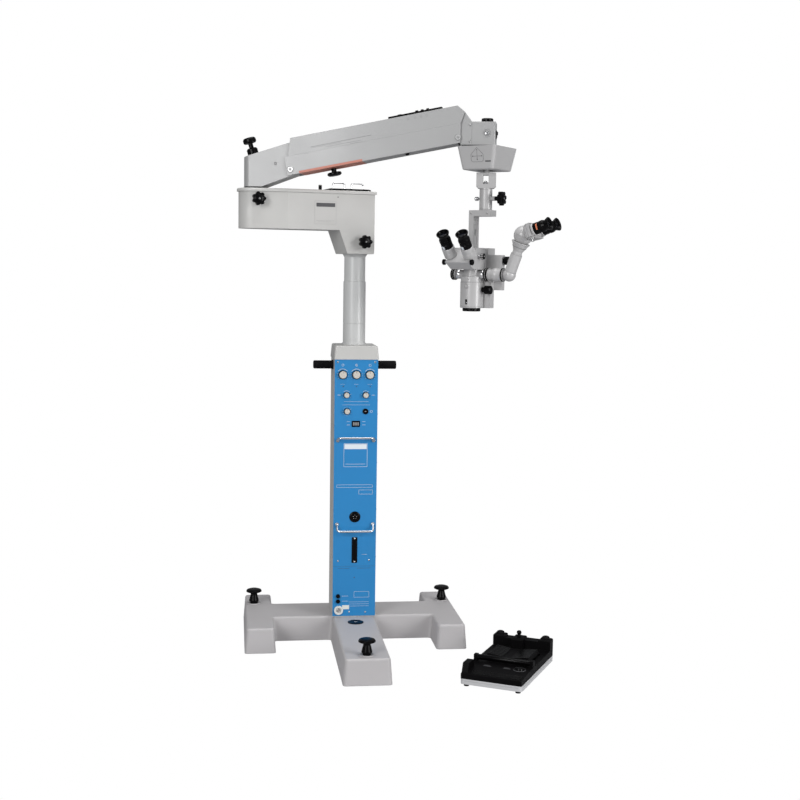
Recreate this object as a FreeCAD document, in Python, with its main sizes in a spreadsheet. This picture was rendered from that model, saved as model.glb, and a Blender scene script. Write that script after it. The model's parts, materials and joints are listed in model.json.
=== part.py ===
import FreeCAD, Part
import math
import os
import Sketcher

Vector = FreeCAD.Vector
Rotation = FreeCAD.Rotation
Placement = FreeCAD.Placement

# Floor stand surgical microscope, in millimetres.
# The origin is on the floor under the telescopic column, +Z is up and the operator's side is -Y.

SIZES = {
    # running fits and seats
    "fit": 0.05,
    "seat": 0.3,
    # cast base
    "base_half_width": 414.5,
    "foot_width": 115,
    "foot_front": 260,
    "foot_rear": 258,
    "base_height": 92,
    "base_draft": 4.3,
    "base_wall": 12,
    "base_rib": 14,
    "base_round": 13,
    "base_top_round": 8,
    "beam_half_width": 85.5,
    "beam_front": 659,
    "bar_front": 103,
    "bar_rear": 110,
    "castor_radius": 30,
    "castor_width": 22,
    "castor_spread": 185,
    "castor_clearance": 1,
    "jack_inset": 39.5,
    "jack_side_rear": 112,
    "jack_front_inset": 52,
    "jack_stem": 15,
    "jack_boss": 24,
    "jack_boss_rise": 2,
    "jack_sleeve": 19,
    "jack_neck": 13,
    "jack_cap": 30,
    "jack_cap_depth": 14,
    "jack_rise": 60,
    "jack_foot_radius": 22,
    "jack_lift": 8,
    "level_radius": 30,
    "level_height": 3,
    "level_front": 194,
    # column
    "column_width": 163,
    "column_front": 116,
    "column_rear": 68,
    "column_top": 1076,
    "column_wall": 4,
    "panel_thickness": 3,
    "panel_rise": 4,
    "cap_height": 51,
    "cap_overhang": 3,
    "cap_draft": 5,
    "cap_round": 7,
    "grip_radius": 16,
    "grip_length": 76,
    "grip_flange": 5,
    "grip_drop": 24,
    "grip_front": 45,
    "sleeve_radius": 42.5,
    "sleeve_rise": 290,
    "sleeve_seam_rise": 131,
    "sleeve_depth": 436,
    "sleeve_ring": 3.5,
    "sleeve_ring_height": 5,
    "tube_radius": 40,
    "tube_wall": 4,
    "tube_depth": 176,
    "tube_rise": 382,
    "collar_radius": 47,
    "collar_height": 11,
    "spigot_radius": 30,
    "spigot_height": 70,
    # front panel fittings
    "big_knob_radius": 17.5,
    "small_knob_radius": 12.5,
    "knob_depth": 14,
    "knob_shaft": 3,
    "knob_pitch": 51,
    "knob_drop": 57,
    "small_drop": 133.5,
    "small_pitch": 36,
    "selector_drop": 195,
    "selector_side": 33.8,
    "lamp_socket_side": 35.8,
    "lamp_socket_radius": 11,
    "cable_socket_radius": 21,
    "cable_socket_depth": 5,
    "cable_socket_rise": 383,
    "counter_width": 31,
    "counter_height": 23,
    "counter_drop": 242,
    "fitting_depth": 3,
    "slot_strip_width": 22,
    "slot_strip_height": 99,
    "slot_strip_rise": 206,
    "fuse_radius": 8,
    "fuse_depth": 8,
    "fuse_side": 61,
    "fuse_rise": 57.4,
    "fuse_pitch": 20,
    "inlet_radius": 17.5,
    "inlet_depth": 8,
    "inlet_bore": 11,
    "inlet_side": 58.5,
    "inlet_rise": 22.5,
    "rack_handle_span": 136,
    "rack_handle_reach": 30,
    "rack_handle_rise": 12,
    "rack_handle_rod": 4,
    "rack_foot_height": 5,
    "upper_handle_drop": 305,
    "lower_handle_drop": 624,
    # lower swing arm
    "arm_reach": 394,
    "arm_yaw": 12.5,
    "arm_half_depth": 75,
    "arm_right": 52,
    "arm_taper_start": 284,
    "arm_nose_radius": 55,
    "neck_height": 98,
    "arm_height": 134,
    "neck_bottom_left": 53,
    "neck_top_left": 85,
    "cover_height": 12,
    "cover_lip": 6,
    "arm_wall": 6,
    "arm_round": 5,
    "drawer_left": 120,
    "drawer_right": 42,
    "drawer_half_depth": 58,
    "drawer_rim": 18,
    "drawer_gap": 1,
    "drawer_plate": 8,
    "drawer_drop": 75,
    "wire_handle_span": 46,
    "wire_handle_pitch": 72,
    "wire_handle_margin": 21,
    "wire_handle_front": 30,
    "wire_handle_rise": 22,
    "wire_radius": 2.6,
    "peg_reach": 151,
    "peg_front": 40,
    "peg_radius": 6,
    "peg_height": 20,
    "star_radius": 18,
    "star_lobe": 7.5,
    "star_depth": 18,
    "star_stem": 8,
    "star_boss": 5,
    "star_seat_depth": 12,
    "swing_star_drop": 28,
    "column_star_rise": 56,
    "column_star_side": 7,
    # upper arm, rear block
    "upper_yaw": -15,
    "block_half_depth": 44,
    "block_left": 30,
    "block_left_rise": 105,
    "block_slope_end": 142,
    "block_slope_rise": 157,
    "block_right": 172,
    "disc_radius": 35,
    "disc_height": 5,
    "king_pin_radius": 25,
    "king_pin_length": 90,
    "rear_pivot_reach": 148.6,
    "rear_pivot_rise": 61.4,
    "balance_side": 6,
    "balance_stem": 6,
    "balance_stem_depth": 20,
    "balance_knob_radius": 24,
    "balance_collar_radius": 20,
    "balance_collar_height": 26,
    "balance_neck_radius": 8.5,
    "balance_neck_height": 20,
    "balance_cap_height": 18,
    # upper arm, parallelogram casing
    "arm_tilt": 10.7,
    "pivot_distance": 617.3,
    "casing_half_depth": 50,
    "casing_wall": 3,
    "casing_below": 20,
    "casing_seam": 48,
    "casing_above": 110,
    "pivot_pin_radius": 7,
    "pivot_head_radius": 9.5,
    "pivot_head_height": 2,
    "link_rise": 62,
    "link_half_height": 10,
    "link_half_depth": 6,
    "link_pin_radius": 5,
    "slot_half_depth": 8,
    "strip_start": 382,
    "strip_end": 579,
    "strip_height": 8,
    "strip_half_depth": 43,
    "strip_lamp_start": 104,
    "strip_lamp_pitch": 20,
    "strip_lamp_radius": 5,
    "strip_lamp_height": 4,
    "brake_knob_reach": 148.5,
    "brake_stem": 6,
    "brake_knob_radius": 26,
    "brake_knob_drop": 27,
    "spring_radius": 13,
    "spring_start": 90,
    "spring_end": 500,
    "spring_height": 18,
    # front housing
    "head_offset": 99.833,
    "housing_neck": 51.4,
    "housing_length": 83.4,
    "housing_half_depth": 42,
    "housing_drop": 25.012,
    "housing_height": 81,
    "front_knob_radius": 21,
    "front_knob_height": 15,
    "front_button_radius": 8,
    "front_button_rise": 40,
    # cross-slide head
    "head_yaw": -38.5,
    "box_half_width": 77,
    "box_front": 86,
    "box_rear": 92,
    "head_gap": 6,
    "box_height": 82,
    "box_draft": 10,
    "head_pin_radius": 22,
    "head_pin_length": 60,
    "cavity_half_width": 52,
    "cavity_half_depth": 36,
    "cavity_floor": 10,
    "cavity_height": 44,
    "slide_travel": 15,
    "slide_half": 34,
    "slide_height": 10,
    "post_radius": 11,
    # suspension fork, tube and bracket
    "fork_yaw": -12,
    "fork_half_width": 35,
    "fork_half_depth": 22,
    "fork_drop": 8,
    "fork_height": 55,
    "fork_window": 19,
    "fork_sill": 16,
    "fork_lintel": 8,
    "hanger_radius": 23,
    "hanger_length": 77,
    "hanger_star_rise": 41,
    "hanger_star_neck": 15,
    "stub_radius": 12,
    "stub_length": 30,
    "bracket_left": 56,
    "bracket_width": 19,
    "bracket_right": 32,
    "bracket_half_depth": 22,
    "bracket_plate": 22,
    "tilt_drop": 165,
    "tilt_pin_radius": 9,
    # microscope carrier
    "mount_left": 20,
    "mount_right": 30,
    "mount_front": 30,
    "mount_rear": 22,
    "mount_half_height": 29,
    "carrier_right": 86,
    "carrier_thickness": 22,
    "carrier_rise": 5,
    "carrier_drop": 120,
    "focus_knob_radius": 15,
    "focus_knob_depth": 22,
    "focus_knob_drop": 15,
    # microscope body
    "optic_side": 7,
    "optic_front": 80,
    "scope_radius": 41,
    "scope_drop": 92,
    "scope_height": 92,
    "objective_radius": 32,
    "objective_height": 12,
    "lens_radius": 26,
    "slide_block_left": 5,
    "slide_block_right": 56,
    "zoom_knob_radius": 15,
    "zoom_knob_depth": 22,
    "zoom_knob_drop": 27,
    "splitter_ledge": 20,
    "splitter_radius": 31,
    "splitter_height": 44,
    "port_rise": 27,
    "port_radius": 15.5,
    "left_port_reach": 79,
    "right_port_reach": 55,
    "ring_radius": 20,
    "ring_width": 14,
    # binocular tube
    "ridge_front": 197,
    "ridge_rise": 69,
    "binocular_half_width": 45.5,
    "face_length": 80,
    "eye_tilt": 50,
    "pupil_distance": 75,
    "eye_seat": 35,
    "holder_radius": 22.5,
    "holder_length": 40,
    "eyepiece_radius": 20.5,
    "eyecup_radius": 23,
    "eyepiece_length": 60,
    "pupil_knob_radius": 10,
    "pupil_knob_depth": 14,
    # observer tube
    "coupling_ball": 24,
    "coupling_reach": 96,
    "elbow_reach": 147,
    "elbow_ball": 23,
    "elbow_plug": 8,
    "arm_lean": 20.5,
    "arm_tube_radius": 20.5,
    "arm_neck_radius": 17,
    "arm_neck_start": 76,
    "cone_start": 88,
    "cone_end": 121,
    "observer_plug": 9,
    "observer_reach": 147,
    "observer_ball": 34,
    "observer_tilt": 19,
    "observer_body": 57,
    "observer_half_width": 50,
    "observer_half_height": 27,
    "observer_eye_spacing": 68,
    "observer_eye_length": 66,
    "observer_knob_radius": 6,
    "observer_knob_depth": 12,
    # foot control
    "pedal_x": 505,
    "pedal_y": -570,
    "pedal_yaw": -29.5,
    "pedal_half_width": 110,
    "pedal_half_length": 198,
    "pedal_inset": 2,
    "pedal_clearance": 9,
    "pedal_plate": 18,
    "pedal_foot_radius": 9,
    "pedal_foot_inset": 18,
    "pedal_corner": 12,
    "deck_height": 25,
    "toe_height": 19,
    "toe_length": 84,
    "rear_wall_depth": 38,
    "rear_wall_height": 55,
    "rear_post_width": 45,
    "rear_post_height": 65,
    "front_post_width": 22,
    "front_post_length": 60,
    "front_post_height": 51,
    "post_round": 7,
    "guard_place": 50,
    "guard_radius": 9,
    "guard_height": 38,
    "guard_cheek": 12,
    "stick_side": 12,
    "stick_boss_width": 44,
    "stick_boss_reach": 20,
    "stick_ball": 5.6,
    "stick_well": 9,
    "stick_radius": 8,
    "stick_shaft": 4,
    "stick_height": 20,
    "rocker_left": 74,
    "rocker_right": 84,
    "rocker_front": -22,
    "rocker_rear": 98,
    "rocker_well": 6,
    "rocker_gap": 4,
    "rocker_centre": 13,
    "rocker_wing": 21,
    "rocker_edge": 9,
    "rocker_pin": 4,
    "rocker_lug": 9,
}

os.makedirs("parts", exist_ok=True)
doc = FreeCAD.newDocument("SurgicalMicroscope")
sheet = doc.addObject("Spreadsheet::Sheet", "Sizes")


class Size:
    """A cell of the sheet or a formula of cells, with its value in millimetres or degrees."""

    def __init__(self, value, text):
        self.value = float(value)
        self.text = text

    def __add__(self, other):
        return Size(self.value + number(other), "(%s + %s)" % (self.text, formula(other)))

    def __radd__(self, other):
        return Size(number(other) + self.value, "(%s + %s)" % (formula(other), self.text))

    def __sub__(self, other):
        return Size(self.value - number(other), "(%s - %s)" % (self.text, formula(other)))

    def __rsub__(self, other):
        return Size(number(other) - self.value, "(%s - %s)" % (formula(other), self.text))

    def __mul__(self, other):
        return Size(self.value * number(other), "%s * %s" % (self.text, formula(other)))

    __rmul__ = __mul__

    def __truediv__(self, other):
        return Size(self.value / number(other), "%s / %s" % (self.text, formula(other)))

    def __neg__(self):
        return Size(-self.value, "(0 - %s)" % self.text)


def number(term):
    return term.value if isinstance(term, Size) else float(term)


def formula(term):
    return term.text if isinstance(term, Size) else "(%.6f)" % float(term)


def cosine(angle):
    return Size(math.cos(math.radians(number(angle))), "cos(%s * 1 deg)" % formula(angle))


def sine(angle):
    return Size(math.sin(math.radians(number(angle))), "sin(%s * 1 deg)" % formula(angle))


def root(term):
    return Size(math.sqrt(number(term)), "sqrt(%s)" % formula(term))


def angle_of(across, up):
    """Direction of a slope, in degrees."""
    return Size(math.degrees(math.atan2(number(up), number(across))),
                "(atan2(%s; %s) / 1 deg)" % (formula(up), formula(across)))


class Sheet:
    """The named sizes, ready to be used in formulas."""

    def __init__(self, sizes):
        for row, (name, value) in enumerate(sizes.items(), start=1):
            cell = "A%d" % row
            sheet.set(cell, str(value))
            sheet.setAlias(cell, name)
            setattr(self, name, Size(value, "Sizes.%s" % name))


s = Sheet(SIZES)
doc.recompute()

zero = Size(0, "0")

# Heights and reaches that hang on one another, from the base up and then down to the objective
s.jack_cap_top = s.base_height + s.jack_rise
s.jack_side = s.base_half_width - s.jack_inset
s.jack_front = s.beam_front - s.jack_front_inset
s.panel_bottom = s.base_height + s.panel_rise
s.grip_height = s.column_top - s.grip_drop
s.sleeve_top = s.column_top + s.sleeve_rise
s.sleeve_seam = s.column_top + s.sleeve_seam_rise
s.sleeve_bottom = s.column_top - s.sleeve_depth
s.tube_bottom = s.column_top - s.tube_depth
s.tube_top = s.column_top + s.tube_rise
s.knob_row = s.column_top - s.knob_drop
s.small_row = s.column_top - s.small_drop
s.selector_row = s.column_top - s.selector_drop
s.upper_handle_height = s.column_top - s.upper_handle_drop
s.lower_handle_height = s.column_top - s.lower_handle_drop
s.arm_bottom = s.tube_top + s.neck_height
s.arm_top = s.arm_bottom + s.arm_height
s.swing_star_height = s.arm_top - s.swing_star_drop
s.column_star_height = s.tube_top + s.column_star_rise
s.block_bottom = s.arm_top + s.cover_height + s.disc_height
s.block_left_top = s.block_bottom + s.block_left_rise
s.block_slope_top = s.block_bottom + s.block_slope_rise
s.rear_pivot_height = s.block_bottom + s.rear_pivot_rise
s.front_pivot_reach = s.rear_pivot_reach + s.pivot_distance * cosine(s.arm_tilt)
s.front_pivot_height = s.rear_pivot_height + s.pivot_distance * sine(s.arm_tilt)
s.head_reach = s.front_pivot_reach + s.head_offset
s.housing_left = s.head_reach - s.housing_neck
s.housing_right = s.housing_left + s.housing_length
s.housing_bottom = s.front_pivot_height - s.housing_drop
s.housing_top = s.housing_bottom + s.housing_height
s.front_button_height = s.housing_bottom + s.front_button_rise
s.box_top = s.housing_bottom - s.head_gap
s.fork_top = s.box_top - s.box_height - s.fork_drop
s.fork_bottom = s.fork_top - s.fork_height
s.hanger_bottom = s.fork_bottom - s.hanger_length
s.hanger_star_height = s.hanger_bottom + s.hanger_star_rise
s.tilt_height = s.hanger_bottom - s.tilt_drop
s.carrier_top = s.tilt_height + s.carrier_rise
s.carrier_bottom = s.tilt_height - s.carrier_drop
s.focus_knob_height = s.tilt_height - s.focus_knob_drop
s.scope_top = s.tilt_height - s.scope_drop
s.scope_bottom = s.scope_top - s.scope_height
s.zoom_knob_height = s.scope_top - s.zoom_knob_drop
s.port_height = s.scope_top + s.port_rise
s.ridge_height = s.scope_top + s.ridge_rise

along_x = Rotation(Vector(0, 1, 0), 90)
along_minus_x = Rotation(Vector(0, 1, 0), -90)
along_front = Rotation(Vector(1, 0, 0), 90)
along_rear = Rotation(Vector(1, 0, 0), -90)
upside_down = Rotation(Vector(1, 0, 0), 180)
nodes = []


# Drawing helpers

def put(obj, x=0, y=0, z=0, turn=None):
    if turn is not None:
        obj.Placement = Placement(Vector(), turn)
    for axis, size in zip("xyz", (x, y, z)):
        if number(size) != 0:
            obj.setExpression("Placement.Base." + axis, formula(size))
    return obj


def box(name, span_x, span_y, span_z):
    obj = doc.addObject("Part::Box", name)
    for side, span in (("Length", span_x), ("Width", span_y), ("Height", span_z)):
        obj.setExpression(side, formula(span[1] - span[0]))
    return put(obj, span_x[0], span_y[0], span_z[0])


def rod(name, radius, length, x=0, y=0, z=0, turn=None):
    obj = doc.addObject("Part::Cylinder", name)
    obj.setExpression("Radius", formula(radius))
    obj.setExpression("Height", formula(length))
    return put(obj, x, y, z, turn)


def outline(body, name, role, points):
    sketch = body.newObject("Sketcher::SketchObject", name + "_outline")
    planes = [plane for plane in body.Origin.OriginFeatures if plane.Role == role]
    sketch.AttachmentSupport = [(planes[0], "")]
    sketch.MapMode = "FlatFace"
    corners = [Vector(number(point[0]), number(point[1]), 0) for point in points]
    count = len(points)
    starts = []
    for index, point in enumerate(points):
        edge, start = stretch(corners[index], corners[(index + 1) % count], point[2:])
        sketch.addGeometry(edge)
        starts.append(start)
    for index in range(count):
        follower = (index + 1) % count
        ends = (index, 3 - starts[index], follower, starts[follower])
        sketch.addConstraint(Sketcher.Constraint("Coincident", *ends))
    for index, point in enumerate(points):
        measure(sketch, "DistanceX", -2, index, starts[index], point[0])
        measure(sketch, "DistanceY", -1, index, starts[index], point[1])
        if len(point) > 2:
            radius = sketch.addConstraint(Sketcher.Constraint("Radius", index, abs(number(point[2]))))
            size = point[2] if number(point[2]) > 0 else -point[2]
            sketch.setExpression("Constraints[%d]" % radius, formula(size))
    return sketch


def stretch(first, last, bend):
    """A straight run, or an arc that turns left for a positive radius and right for a negative one."""
    if not bend:
        return Part.LineSegment(first, last), 1
    radius = number(bend[0])
    half = (last - first) / 2
    aside = Vector(-half.y, half.x, 0)
    aside.normalize()
    side = 1 if radius > 0 else -1
    centre = first + half + aside * side * math.sqrt(max(radius * radius - half.Length ** 2, 0))
    angles = [math.atan2(point.y - centre.y, point.x - centre.x) for point in (first, last)]
    if side < 0:
        angles.reverse()
    circle = Part.Circle(centre, Vector(0, 0, 1), abs(radius))
    return Part.ArcOfCircle(circle, angles[0], angles[1]), 1 if side > 0 else 2


def measure(sketch, kind, axis, index, end, size):
    value = number(size)
    if abs(value) < 1e-7:
        sketch.addConstraint(Sketcher.Constraint("PointOnObject", index, end, axis))
        return
    if value > 0:
        datum = sketch.addConstraint(Sketcher.Constraint(kind, -1, 1, index, end, value))
        sketch.setExpression("Constraints[%d]" % datum, formula(size))
    else:
        datum = sketch.addConstraint(Sketcher.Constraint(kind, index, end, -1, 1, -value))
        sketch.setExpression("Constraints[%d]" % datum, formula(-size if isinstance(size, Size) else -value))


def plate(name, points, low, high, draft=None):
    """A plan outline raised from one height to another."""
    body = doc.addObject("PartDesign::Body", name)
    pad = body.newObject("PartDesign::Pad", name + "_pad")
    pad.Profile = outline(body, name, "XY_Plane", points)
    pad.setExpression("Length", formula(high - low))
    if draft is not None:
        pad.setExpression("TaperAngle", formula(-draft))
    return put(body, z=low)


def slab(name, points, front, rear):
    """A front view outline given depth from its front to its rear."""
    body = doc.addObject("PartDesign::Body", name)
    pad = body.newObject("PartDesign::Pad", name + "_pad")
    pad.Profile = outline(body, name, "XZ_Plane", points)
    pad.setExpression("Length", formula(rear - front))
    return put(body, y=rear)


def side_slab(name, points, left, right):
    """A side view outline of (y, z) points given width from left to right."""
    body = doc.addObject("PartDesign::Body", name)
    pad = body.newObject("PartDesign::Pad", name + "_pad")
    pad.Profile = outline(body, name, "YZ_Plane", points)
    pad.setExpression("Length", formula(right - left))
    return put(body, x=left)


def turned(name, points, x=0, y=0, z=0, turn=None):
    """A profile of (radius, height) points turned about its own axis."""
    body = doc.addObject("PartDesign::Body", name)
    sketch = outline(body, name, "XZ_Plane", points)
    spin = body.newObject("PartDesign::Revolution", name + "_spin")
    spin.Profile = sketch
    spin.ReferenceAxis = (sketch, ["V_Axis"])
    spin.Angle = 360
    return put(body, x, y, z, turn)


def soften(body, radius, chosen):
    """Rounds the chosen edges of a body."""
    doc.recompute()
    tip = body.Tip
    names = ["Edge%d" % n for n, edge in enumerate(tip.Shape.Edges, start=1) if chosen(edge)]
    fillet = body.newObject("PartDesign::Fillet", body.Name + "_round%d" % len(body.Group))
    fillet.Base = (tip, names)
    fillet.setExpression("Radius", formula(radius))
    return body


def span(edge):
    if len(edge.Vertexes) < 2:
        return Vector()
    way = edge.Vertexes[1].Point - edge.Vertexes[0].Point
    return way / max(way.Length, 1e-9)


def upright(edge):
    return abs(span(edge).z) > 0.9


def crosswise(edge):
    return abs(span(edge).x) > 0.9


def at_height(height):
    level = number(height)
    return lambda edge: all(abs(point.Point.z - level) < 0.01 for point in edge.Vertexes)


def joined(name, *pieces):
    obj = doc.addObject("Part::MultiFuse", name)
    obj.Shapes = list(pieces)
    obj.Refine = True
    return obj


def carved(name, base, *tools):
    obj = doc.addObject("Part::Cut", name)
    obj.Base = base
    obj.Tool = tools[0] if len(tools) == 1 else joined(name + "_tools", *tools)
    return obj


def grouped(name, *pieces):
    obj = doc.addObject("Part::Compound", name)
    obj.Links = list(pieces)
    return obj


def node(label, obj, frame=None):
    if frame is not None:
        obj.Label = label + "_on_its_pivot"
        obj = grouped(label + "_in_frame", obj)
        obj.Placement = frame
    obj.Label = label
    nodes.append(obj)
    return obj


def star_knob(name, x, y, z, turn):
    """Lobes round a hub, on a stem that points along +Z before it is turned."""
    lobe_count = 7
    place = Placement(Vector(number(x), number(y), number(z)), turn)
    hub = turned(name + "_hub", [
        (0, 0), (s.star_stem, 0), (s.star_stem, s.star_depth * 0.7), (s.star_radius * 1.15, s.star_depth),
        (s.star_radius * 1.15, s.star_depth * 1.75), (s.star_radius * 0.8, s.star_depth * 1.9),
        (0, s.star_depth * 2)])
    lobes = []
    for index in range(lobe_count):
        angle = index * 360 / lobe_count
        lobes.append(rod(name + "_lobe%d" % index, s.star_lobe, s.star_depth * 0.8,
                         s.star_radius * cosine(angle), s.star_radius * sine(angle), s.star_depth))
    knob = joined(name + "_shape", hub, *lobes)
    knob.Placement = place
    return knob


# Frames of the arms: each is placed at its pivot and turned to its own heading

def heading(yaw):
    return Rotation(Vector(0, 0, 1), number(yaw))


arm_frame = Placement(Vector(), heading(s.arm_yaw))
upper_frame = Placement(arm_frame.multVec(Vector(-number(s.arm_reach), 0, 0)), heading(s.upper_yaw))
rear_pivot = Vector(number(s.rear_pivot_reach), 0, number(s.rear_pivot_height))
casing_frame = upper_frame * Placement(rear_pivot, Rotation(Vector(0, 1, 0), -number(s.arm_tilt)))
head_place = upper_frame.multVec(Vector(number(s.head_reach), 0, 0))
head_frame = Placement(head_place, heading(s.head_yaw))
pedal_frame = Placement(Vector(number(s.pedal_x), number(s.pedal_y), 0), heading(s.pedal_yaw))


# Base

def base_outline(inset):
    side = s.base_half_width - inset
    inner = s.base_half_width - s.foot_width + inset
    beam = s.beam_half_width - inset
    front = s.foot_front - inset
    rear = s.foot_rear - inset
    bar_front = s.bar_front - inset
    bar_rear = s.bar_rear - inset
    beam_front = s.beam_front - inset
    return [(-side, -front), (-inner, -front), (-inner, -bar_front), (-beam, -bar_front),
            (-beam, -beam_front), (beam, -beam_front), (beam, -bar_front), (inner, -bar_front),
            (inner, -front), (side, -front), (side, rear), (inner, rear), (inner, bar_rear),
            (-inner, bar_rear), (-inner, rear), (-side, rear)]


def make_base():
    shell = plate("casting", base_outline(zero), zero, s.base_height, s.base_draft)
    soften(shell, s.base_round, upright)
    soften(shell, s.base_top_round, at_height(s.base_height))
    hollow = plate("casting_hollow", base_outline(s.base_wall + s.base_top_round), zero,
                   s.base_height - s.base_wall, s.base_draft)
    spindles = [rod("spindle_bore%d" % index, s.jack_stem + s.fit, s.base_height * 2, x, y, 0)
                for index, (x, y) in enumerate(jack_places())]
    boss_foot = s.jack_lift * 2
    boss_top = s.base_height + s.jack_boss_rise
    bosses = [rod("spindle_boss%d" % index, s.jack_boss, boss_top - boss_foot, x, y, boss_foot)
              for index, (x, y) in enumerate(jack_places())]
    rib = s.base_rib / 2
    ribs = [box("cross_rib", (-s.base_half_width, s.base_half_width), (-rib, rib), (-1, s.base_height)),
            box("long_rib", (-rib, rib), (-s.beam_front, s.foot_rear), (-1, s.base_height))]
    hollowed = carved("casting_shell", shell, carved("casting_cells", hollow, *ribs))
    node("base_casting", carved("base_casting", joined("casting_bossed", hollowed, *bosses), *spindles))


def jack_places():
    return [(-s.jack_side, s.jack_side_rear), (s.jack_side, s.jack_side_rear), (zero, -s.jack_front)]


def make_jacks():
    labels = ("jack_left", "jack_right", "jack_front")
    stem = s.jack_stem
    foot = s.jack_foot_radius
    cap = s.jack_cap
    top = s.jack_cap_top
    rim = top - s.jack_cap_depth
    sleeve = s.base_height + s.jack_boss_rise + s.jack_lift + s.seat
    for label, (x, y) in zip(labels, jack_places()):
        profile = [(0, s.jack_lift), (foot * 0.6, s.jack_lift), (stem * 0.8, s.jack_lift * 2),
                   (stem, s.jack_lift * 2), (stem, sleeve), (s.jack_sleeve, sleeve),
                   (s.jack_sleeve, sleeve + 4), (s.jack_neck, rim - 9), (s.jack_neck, rim - 3),
                   (cap * 0.8, rim - 1), (cap, rim + 2), (cap, rim + 6), (cap * 0.9, top - 4),
                   (cap * 0.6, top - 1), (0, top)]
        node(label, turned(label, profile, x, y))


def make_castors():
    wheels = []
    inner = s.base_half_width - s.foot_width / 2
    axle = s.castor_radius + s.castor_clearance
    for index, (side, along) in enumerate(((-1, -1), (1, -1), (-1, 1), (1, 1))):
        x = inner * side
        y = s.castor_spread * along
        wheel = rod("castor_wheel%d" % index, s.castor_radius, s.castor_width, x - s.castor_width / 2, y,
                    axle, along_x)
        stem = rod("castor_stem%d" % index, s.castor_width / 4, s.base_height - s.base_wall - axle, x, y, axle)
        wheels.append(joined("castor%d" % index, wheel, stem))
    node("castors", grouped("castors", *wheels))


def make_level():
    rim = turned("bubble_level", [
        (0, 0), (s.level_radius, 0), (s.level_radius, s.level_height * 0.6),
        (s.level_radius * 0.85, s.level_height), (0, s.level_height)], 0, -s.level_front, s.base_height)
    node("bubble_level", rim)


# Column

def make_column():
    half = s.column_width / 2
    front = s.column_front - s.panel_thickness
    low = s.base_height
    outer = box("column_box", (-half, half), (-front, s.column_rear), (low, s.column_top))
    wall = s.column_wall
    inside = box("column_inside", (-half + wall, half - wall), (-front + wall, s.column_rear - wall),
                 (low + wall, s.column_top - wall))
    mouth = rod("column_mouth", s.sleeve_radius + s.fit, s.cap_height, 0, 0, s.column_top - wall * 2)
    shafts = [rod("shaft_bore%d" % index, s.knob_shaft + s.fit, wall * 3, x, -front + wall * 2, z, along_front)
              for index, (label, x, z, radius) in enumerate(panel_knobs())]
    node("column_housing", carved("column_housing", outer, inside, mouth, *shafts))
    panel_box = box("front_panel_blank", (-half, half), (-s.column_front, -front),
                    (s.panel_bottom, s.column_top))
    bores = [rod("panel_bore%d" % index, s.knob_shaft + s.fit, wall * 3, x, -front + wall * 2, z, along_front)
             for index, (label, x, z, radius) in enumerate(panel_knobs())]
    node("front_panel", carved("front_panel", panel_box, *bores))
    edge = s.cap_overhang
    cap = plate("column_cap_block", [
        (-half - edge, -s.column_front - edge), (half + edge, -s.column_front - edge),
        (half + edge, s.column_rear + edge), (-half - edge, s.column_rear + edge)],
        s.column_top, s.column_top + s.cap_height, s.cap_draft)
    soften(cap, s.cap_round, upright)
    soften(cap, s.cap_round * 0.8, at_height(s.cap_height))
    bore = rod("cap_bore", s.sleeve_radius + s.fit, s.cap_height * 2, 0, 0, s.column_top - s.cap_height / 2)
    node("column_cap", carved("column_cap", cap, bore))


def make_grips():
    half = s.column_width / 2
    radius = s.grip_radius
    end = s.grip_length
    flange = s.grip_flange
    profile = [(0, 0), (radius * 1.08, 0), (radius * 1.08, flange), (radius, flange * 1.6),
               (radius, end - flange), (radius - flange, end), (0, end)]
    right = turned("right_grip", profile, half, -s.grip_front, s.grip_height, along_x)
    left = turned("left_grip", profile, -half, -s.grip_front, s.grip_height, along_minus_x)
    node("push_grips", grouped("push_grips", left, right))


def make_telescope():
    top = s.column_top + s.cap_height
    radius = s.sleeve_radius
    ring = s.sleeve_ring
    bore = s.tube_radius + s.fit
    sleeve = turned("sleeve", [
        (bore, s.sleeve_bottom), (radius, s.sleeve_bottom), (radius, top), (radius + ring, top),
        (radius + ring, top + s.sleeve_ring_height), (radius, top + s.sleeve_ring_height * 1.4),
        (radius, s.sleeve_seam - 1), (radius - 1, s.sleeve_seam),
        (radius, s.sleeve_seam + 1), (radius, s.sleeve_top - 1), (radius - 1, s.sleeve_top),
        (bore, s.sleeve_top)])
    node("outer_tube", sleeve)
    inner = s.tube_radius - s.tube_wall
    collar = s.tube_top + s.collar_height
    tube = turned("tube", [
        (inner, s.tube_bottom), (s.tube_radius, s.tube_bottom), (s.tube_radius, s.tube_top),
        (s.collar_radius, collar), (s.spigot_radius, collar), (s.spigot_radius, collar + s.spigot_height),
        (s.spigot_radius - s.tube_wall, collar + s.spigot_height), (s.spigot_radius - s.tube_wall, s.tube_top),
        (inner, s.tube_top - s.tube_wall)])
    node("inner_tube", tube)


# Front panel fittings

def panel_knobs():
    big = s.big_knob_radius
    small = s.small_knob_radius
    return [("lamp_knob_left", -s.knob_pitch, s.knob_row, big), ("lamp_knob_middle", zero, s.knob_row, big),
            ("lamp_knob_right", s.knob_pitch, s.knob_row, big),
            ("trim_knob_left", -s.small_pitch, s.small_row, small),
            ("trim_knob_right", s.small_pitch, s.small_row, small),
            ("selector_knob", -s.selector_side, s.selector_row, small)]


def make_panel_knobs():
    for label, x, z, radius in panel_knobs():
        depth = s.knob_depth
        gap = s.seat
        profile = [(0, -s.column_wall), (s.knob_shaft, -s.column_wall), (s.knob_shaft, gap), (radius, gap),
                   (radius, depth * 0.35), (radius * 0.88, depth * 0.5), (radius * 0.82, depth),
                   (radius * 0.7, depth + 1), (0, depth + 1)]
        node(label, turned(label, profile, x, -s.column_front, z, along_front))


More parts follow.
